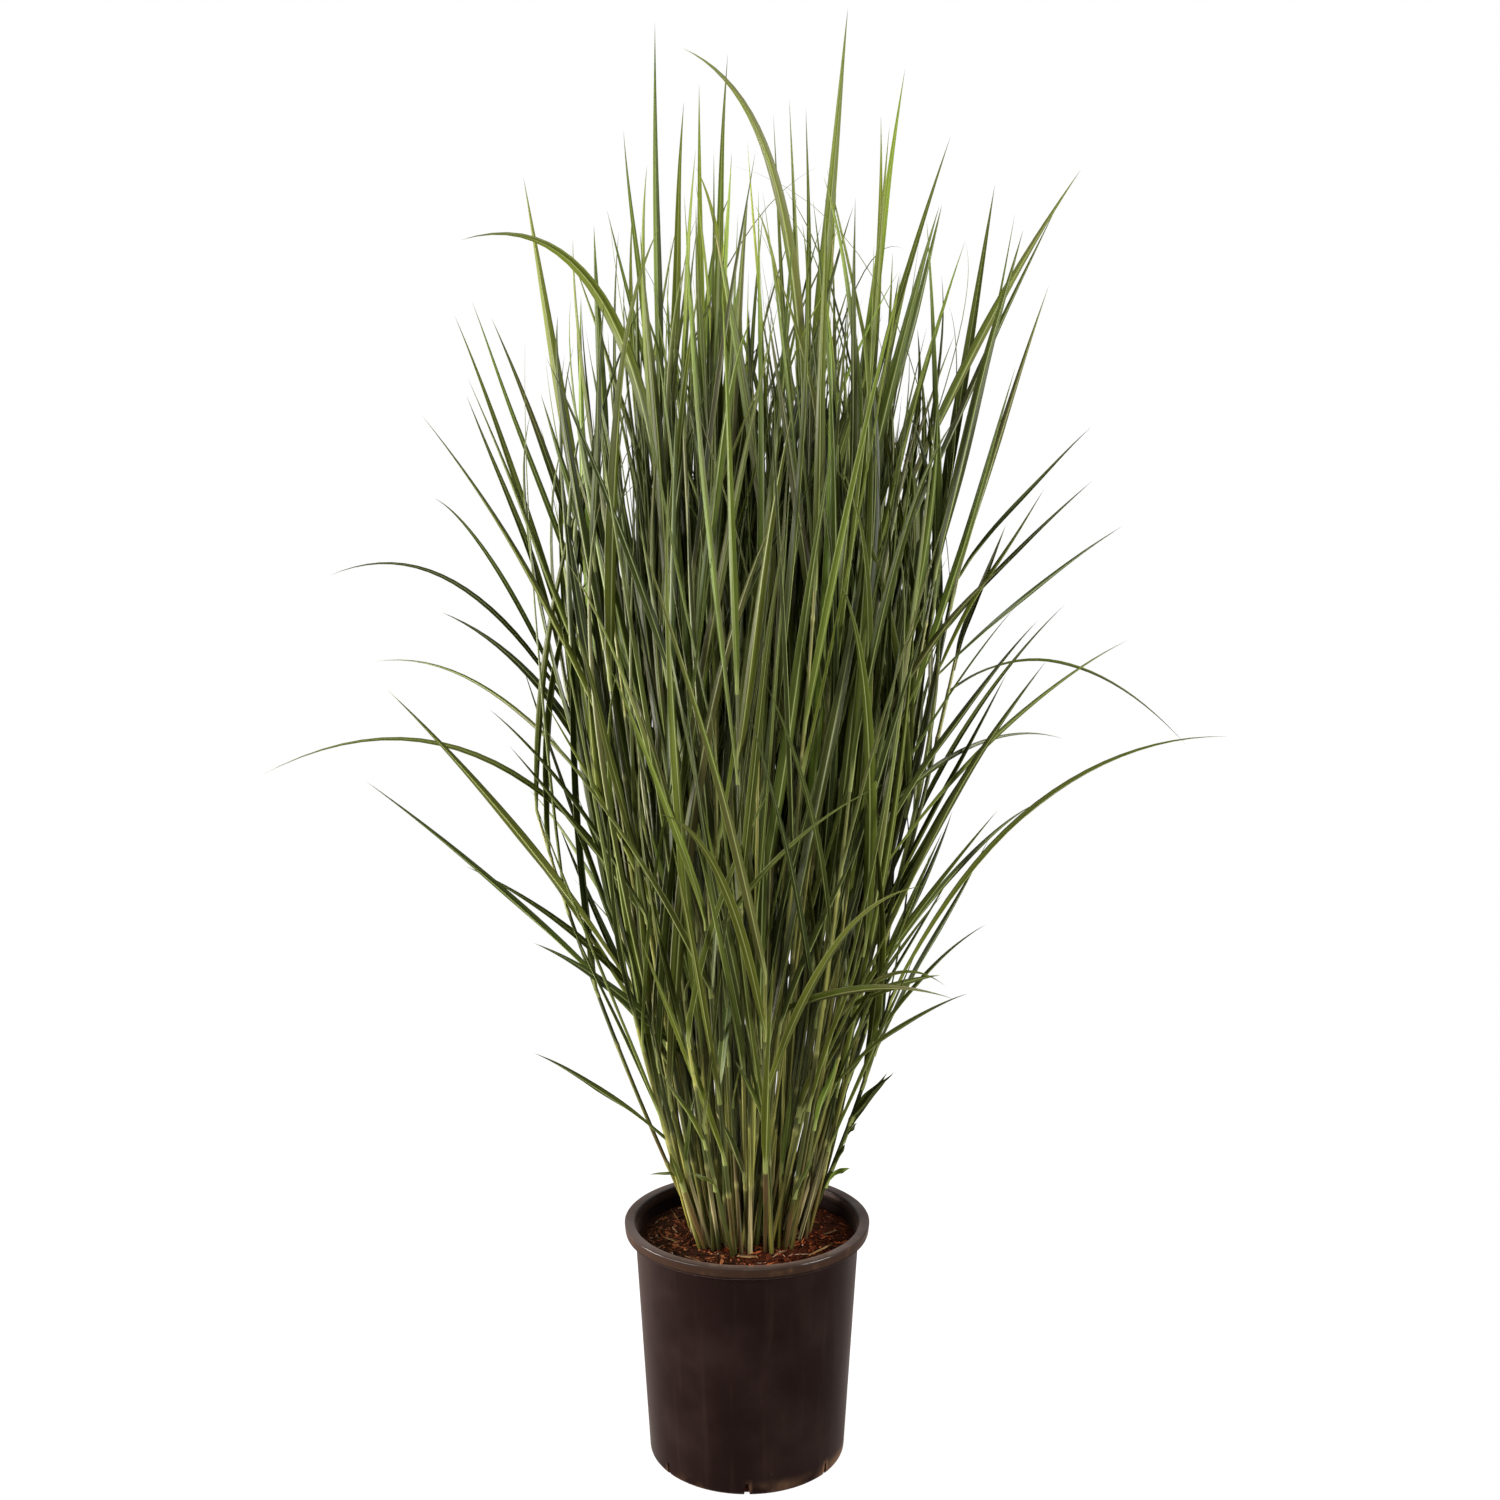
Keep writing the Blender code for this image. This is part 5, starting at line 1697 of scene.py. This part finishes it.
def least_crowded(room, tries, make):
    """The best placed of a few draws. It takes its place in the room."""
    best = None
    for _ in range(tries):
        made = make()
        crowding = room.crowding(made[0])
        if best is None or crowding < best[0]:
            best = (crowding, made)
        if crowding == 0:
            break
    room.take(best[1][0])
    return best[1]


def inside_clump(tip, top):
    """Whether a tip stays in the body of the clump, a tall barrel that ends at this height."""
    rise = max(0.0, tip.z - BODY_MIDDLE)
    across = math.hypot(tip.x, tip.y) / (CLUMP_REACH * (1 + CLUMP_WIDENING * rise))
    up = rise / (top - BODY_MIDDLE)
    return across ** CLUMP_SQUARENESS + up ** CLUMP_SQUARENESS < 1


def fitting_tip(root, aimed, fits):
    """The tip of a blade that is drawn again, a little shorter each time, until it fits."""
    size = 1.0
    for _ in range(TIP_DRAWS):
        angle, lean, length = aimed()
        length = size * length
        tip = root + polar(angle, length * math.sin(lean), length * math.cos(lean))
        if fits(tip):
            break
        size *= TIP_SHRINK
    return tip


def loose_blade(culm, share, draw):
    """A blade that goes on in its stem's direction, leaning out a little more."""
    stem = curve_direction(culm, share)
    top = draw.uniform(*CLUMP_TOPS)

    def aimed():
        angle = azimuth_of(stem) + draw.gauss(0, LOOSE_TURN)
        lean = math.acos(min(1.0, stem.z)) * draw.uniform(*LOOSE_KEPT_LEAN)
        lean += math.radians(abs(draw.gauss(0, LOOSE_LEAN)) + LEAST_LEAN)
        return angle, lean, draw.uniform(*LOOSE_LENGTH)

    tip = fitting_tip(curve_point(culm, share), aimed, lambda tip: inside_clump(tip, top))
    width = draw.uniform(*(BROAD_BLADE if draw.random() < BROAD_SHARE else NARROW_BLADE))
    return share, tip, draw.choice(LOOSE_ARCHES), width, draw.uniform(-1, 1) * LOOSE_TWIST


def side_blade(culm, share, draw):
    """A shorter blade that leans well out from the lower half of its stem."""
    stem = curve_direction(culm, share)

    def aimed():
        angle = azimuth_of(stem) + draw.gauss(0, SIDE_TURN)
        lean = math.acos(min(1.0, stem.z)) + math.radians(draw.uniform(*SIDE_LEAN))
        return angle, lean, draw.uniform(*SIDE_LENGTH)

    def fits(tip):
        return math.hypot(tip.x, tip.y) < min(SIDE_REACH, (tip.z - CROWN_HEIGHT) * SIDE_SLOPE)

    tip = fitting_tip(curve_point(culm, share), aimed, fits)
    arch = draw.choice(SIDE_ARCHES)
    return share, tip, arch, draw.uniform(*SIDE_BLADE), draw.uniform(-1, 1) * LOOSE_TWIST


def whisker(culm, share, draw):
    """A hair-thin blade that arches out of the clump's top."""
    def aimed():
        lean = math.radians(draw.uniform(*WHISKER_LEAN))
        length = draw.uniform(*WHISKER_LENGTH)
        return draw.uniform(0, 2 * math.pi), lean, length

    tip = fitting_tip(curve_point(culm, share), aimed,
                      lambda tip: inside_clump(tip, WHISKER_TOP))
    arch = draw.uniform(*WHISKER_ARCH)
    return share, tip, arch, draw.uniform(*WHISKER), draw.uniform(-1, 1) * LOOSE_TWIST


def thin_culm(culm, draw):
    """A thinner stem that stands beside a solid one."""
    foot, _, top = culm
    beside = foot + polar(draw.uniform(0, 2 * math.pi), THIN_STEM_SPACE, 0)
    reach = math.hypot(beside.x, beside.y)
    if reach > FEET_RADIUS + FEET_MARGIN:
        beside = beside * ((FEET_RADIUS + FEET_MARGIN) / reach)
        beside.z = foot.z
    height = foot.z + (top.z - foot.z) * draw.uniform(*THIN_RISE)
    end = Vector((top.x * draw.uniform(*THIN_INWARD) + draw.gauss(0, THIN_DRIFT),
                  top.y * draw.uniform(*THIN_INWARD) + draw.gauss(0, THIN_DRIFT),
                  min(height, THIN_HIGHEST * draw.uniform(*THIN_LOWERING))))
    return culm_curve(beside, end)


def seen_on_plane(point):
    """Where the viewer sees a point against the upright plane of the low leaves."""
    nearness = (VIEWER_DISTANCE + LOW_PLANE) / (VIEWER_DISTANCE + point.y)
    return Vector((point.x * nearness, VIEWER_HEIGHT + (point.z - VIEWER_HEIGHT) * nearness))


def low_leaf_lines(stems, rings):
    """Each low leaf grows from the stem that the viewer sees nearest to its root."""
    lines = []
    for number, (root, tip, forward, width, tint) in enumerate(LOW_LEAVES):
        draw = random.Random(3 * FINE_SEED + number)
        nearest = None
        for index, stem in stems:
            for step in range(LOW_STEPS):
                share = 0.02 + 0.9 * step / LOW_STEPS
                point = curve_point(stem, share)
                distance = (seen_on_plane(point) - Vector(root)).length + point.y * LOW_DEPTH_WEIGHT
                if nearest is None or distance < nearest[0]:
                    nearest = (distance, index, stem, share, point)
        _, index, stem, share, point = nearest
        depth = point.y - forward
        nearness = (VIEWER_DISTANCE + LOW_PLANE) / (VIEWER_DISTANCE + depth)
        end = Vector((tip[0] / nearness, depth,
                      VIEWER_HEIGHT + (tip[1] - VIEWER_HEIGHT) / nearness))
        azimuth = azimuth_of(end - point)
        blade = (share, end, LOW_ARCH, width)
        blade += (front_twist(stem, blade, azimuth),)
        lines.append((index, blade_line(stem, blade, azimuth, 1.0, rings // 2, draw, tint)))
    return lines


def plan_lines(tillers, rings):
    """For each tiller, the lines of its stems and blades: first those of the solid ones, then,
    where there is the most room, those that fill the clump out."""
    room = Room()
    plans = []
    stems = [(index, tiller[0]) for index, tiller in enumerate(tillers)]
    for index, (culm, main, blades) in enumerate(tillers):
        draw = random.Random(FINE_SEED + index)
        azimuth = face_azimuth(main, culm[2])
        lines = [stem_line(culm, MAIN_STEM, [blade[0] for blade in blades[1:]],
                           blade_curve(culm, blades[0]), draw)]
        outline = index < len(OUTLINE_TILLERS)
        for share, tip, arch, width, twist in blades:
            slim = 1.0 if outline else next(slim for top, slim in FILL_SLIM if share <= top)
            tint = draw.uniform(*OUTLINE_TINT) if outline else None
            lines.append(blade_line(culm, (share, tip, arch, width * slim, twist),
                                    azimuth(tip), 1.0, rings, draw, tint))
        for line in lines:
            room.take(line)
        plans.append(lines)
    for index, (culm, _, _) in enumerate(tillers):
        draw = random.Random(2 * FINE_SEED + index)

        def add_blade(stem, size, share, make=loose_blade):
            def attempt():
                blade = make(stem, share, draw)
                azimuth = azimuth_of(blade[1] - curve_point(stem, share))
                count = rings if blade[3] > NARROW_BLADE[1] else rings * 2 // 3
                return (blade_line(stem, blade, azimuth, size, count, draw),)
            plans[index].append(least_crowded(room, BLADE_TRIES, attempt)[0])

        def new_stem(size):
            stem = thin_culm(culm, draw)
            end_blade = loose_blade(stem, 1.0, draw)
            line = stem_line(stem, size, THIN_COLLARS, blade_curve(stem, end_blade), draw)
            return line, stem, end_blade

        for shares in LOOSE_SHARES:
            add_blade(culm, 1.0, draw.uniform(*shares))
        add_blade(culm, 1.0, draw.uniform(*SIDE_SHARES), side_blade)
        if index % WHISKER_EVERY == 0:
            add_blade(culm, 1.0, draw.uniform(*WHISKER_SHARES), whisker)
        for size, shares in THIN_STEMS:
            line, stem, end_blade = least_crowded(room, STEM_TRIES,
                                                  lambda size=size: new_stem(size))
            azimuth = azimuth_of(end_blade[1] - stem[2])
            plans[index] += [line, blade_line(stem, end_blade, azimuth, size, rings, draw)]
            stems.append((index, stem))
            for share in shares:
                slip = draw.uniform(-THIN_SHARE_SLIP, THIN_SHARE_SLIP)
                add_blade(stem, size, share + slip)
    for index, line in low_leaf_lines(stems, rings):
        plans[index].append(line)
    return plans


class SWITCHGRASS_OT_tillers(bpy.types.Operator):
    """Grow every tiller of the clump"""
    bl_idname = "switchgrass.tillers"
    bl_label = "Tillers"

    def execute(self, context):
        settings = context.scene.switchgrass_grass
        leaf, stem = leaf_finish(settings), stem_finish(settings)
        tree = tiller_tree()
        plans = plan_lines(plan_clump(), settings.blade_rings)
        for index, lines in enumerate(plans):
            number = f"{index + 1:02d}"
            if f"tiller_{number}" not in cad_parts:
                raise RuntimeError(f"the solid model has no tiller {number}")
            paths = Paths()
            for line in lines:
                paths.add(line)
            mesh = through_nodes(f"paths_{number}", paths.mesh(f"paths_{number}"), tree, {
                "Stem Sides": settings.stem_sides, "Blade Sides": settings.blade_sides,
                "Thickness": settings.thickness, "Leaf": leaf, "Stem": stem})
            drop_attributes(mesh, Paths.NUMBERS + Paths.VECTORS + ("ring",))
            add_piece(f"grass_{number}", mesh, f"tiller_{number}")
        return {"FINISHED"}


# Stage

def add_light(name, power, size, place, colour, height):
    """A round lamp aimed at a height on the object's axis."""
    light = bpy.data.lights.new(name, "AREA")
    light.energy = power
    light.shape = "DISK"
    light.size = size
    light.color = colour
    lamp = add_object(name, light)
    lamp.location = place
    towards = Vector((0, 0, height)) - Vector(place)
    lamp.rotation_euler = towards.to_track_quat("-Z", "Y").to_euler()


class SWITCHGRASS_OT_stage(bpy.types.Operator):
    """Set up the pale floor, the soft lights and the camera"""
    bl_idname = "switchgrass.stage"
    bl_label = "Stage"

    def execute(self, context):
        settings = context.scene.switchgrass_stage
        material, net = material_net("pale_floor")
        away = net.maths("LENGTH", object_place(net))
        seen = net.node("ShaderNodeLightPath", {}, {}, output="Is Camera Ray")
        finish_surface(net, {
            "Base Color": net.mix(seen, (0.52, 0.42, 0.35), (0.85, 0.85, 0.85)),
            "Emission Color": net.mix(seen, (0.0, 0.0, 0.0), (1.0, 1.0, 1.0)),
            "Roughness": 1.0, "Specular IOR Level": 0.0, "Emission Strength": 0.55,
            "Alpha": net.step(away, FLOOR_REACH, FLOOR_REACH * 0.4)})
        bm = bmesh.new()
        bmesh.ops.create_circle(bm, cap_ends=True, segments=96, radius=FLOOR_REACH)
        mesh = mesh_from(bm, "floor")
        mesh.materials.append(material)
        floor = add_object("floor", mesh)

        world = bpy.data.worlds.new("white_surroundings")
        world.use_nodes = True
        world.node_tree.nodes.clear()
        net = Net(world.node_tree)
        way = net.node("ShaderNodeTexCoord", {}, {}, output="Generated")
        upward, backward = way.part("Z"), way.part("Y")
        seen = net.node("ShaderNodeLightPath", {}, {}, output="Is Camera Ray")
        behind = net.step(backward, 0.15, 0.85) * settings.backdrop
        soft = net.step(upward, 0.0, 0.7, settings.low_sky, settings.sky) + behind
        background = net.node("ShaderNodeBackground", {}, {
            "Color": (1.0, 1.0, 1.0), "Strength": net.maths("MAXIMUM", soft, seen)})
        net.node("ShaderNodeOutputWorld", {}, {"Surface": background})
        context.scene.world = world
        context.scene.view_settings.view_transform = "Standard"
        for name, look in LIGHTS.items():
            add_light(name, getattr(settings, name), *look)

        camera = add_object("camera", bpy.data.cameras.new("camera"))
        camera.data.lens = LENS
        camera.data.sensor_width = SENSOR
        camera.location = CAMERA_PLACE
        camera.rotation_euler = (math.radians(90 - CAMERA_PITCH), 0, 0)
        context.scene.camera = camera
        return {"FINISHED"}


# Add-on

OPERATORS = (SWITCHGRASS_OT_pot, SWITCHGRASS_OT_soil, SWITCHGRASS_OT_litter,
             SWITCHGRASS_OT_tillers, SWITCHGRASS_OT_stage)
SETTINGS = {"switchgrass_pot": PotSettings, "switchgrass_soil": SoilSettings,
            "switchgrass_grass": GrassSettings, "switchgrass_stage": StageSettings}


class SWITCHGRASS_PT_panel(bpy.types.Panel):
    """Lists the pieces and their settings"""
    bl_label = "Switchgrass"
    bl_space_type = "VIEW_3D"
    bl_region_type = "UI"
    bl_category = "Switchgrass"

    def draw(self, context):
        for group in SETTINGS:
            settings = getattr(context.scene, group)
            for name in settings.__annotations__:
                self.layout.prop(settings, name)
        for operator in OPERATORS:
            self.layout.operator(operator.bl_idname)


def register():
    for group in (*SETTINGS.values(), *OPERATORS, SWITCHGRASS_PT_panel):
        bpy.utils.register_class(group)
    for name, group in SETTINGS.items():
        setattr(bpy.types.Scene, name, PointerProperty(type=group))


def unregister():
    for name in SETTINGS:
        delattr(bpy.types.Scene, name)
    for group in (SWITCHGRASS_PT_panel, *OPERATORS, *SETTINGS.values()):
        bpy.utils.unregister_class(group)


def main():
    register()
    bpy.ops.switchgrass.pot()
    bpy.ops.switchgrass.soil()
    bpy.ops.switchgrass.litter()
    bpy.ops.switchgrass.tillers()
    bpy.ops.switchgrass.stage()
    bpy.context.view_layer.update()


if __name__ == "__main__":
    main()
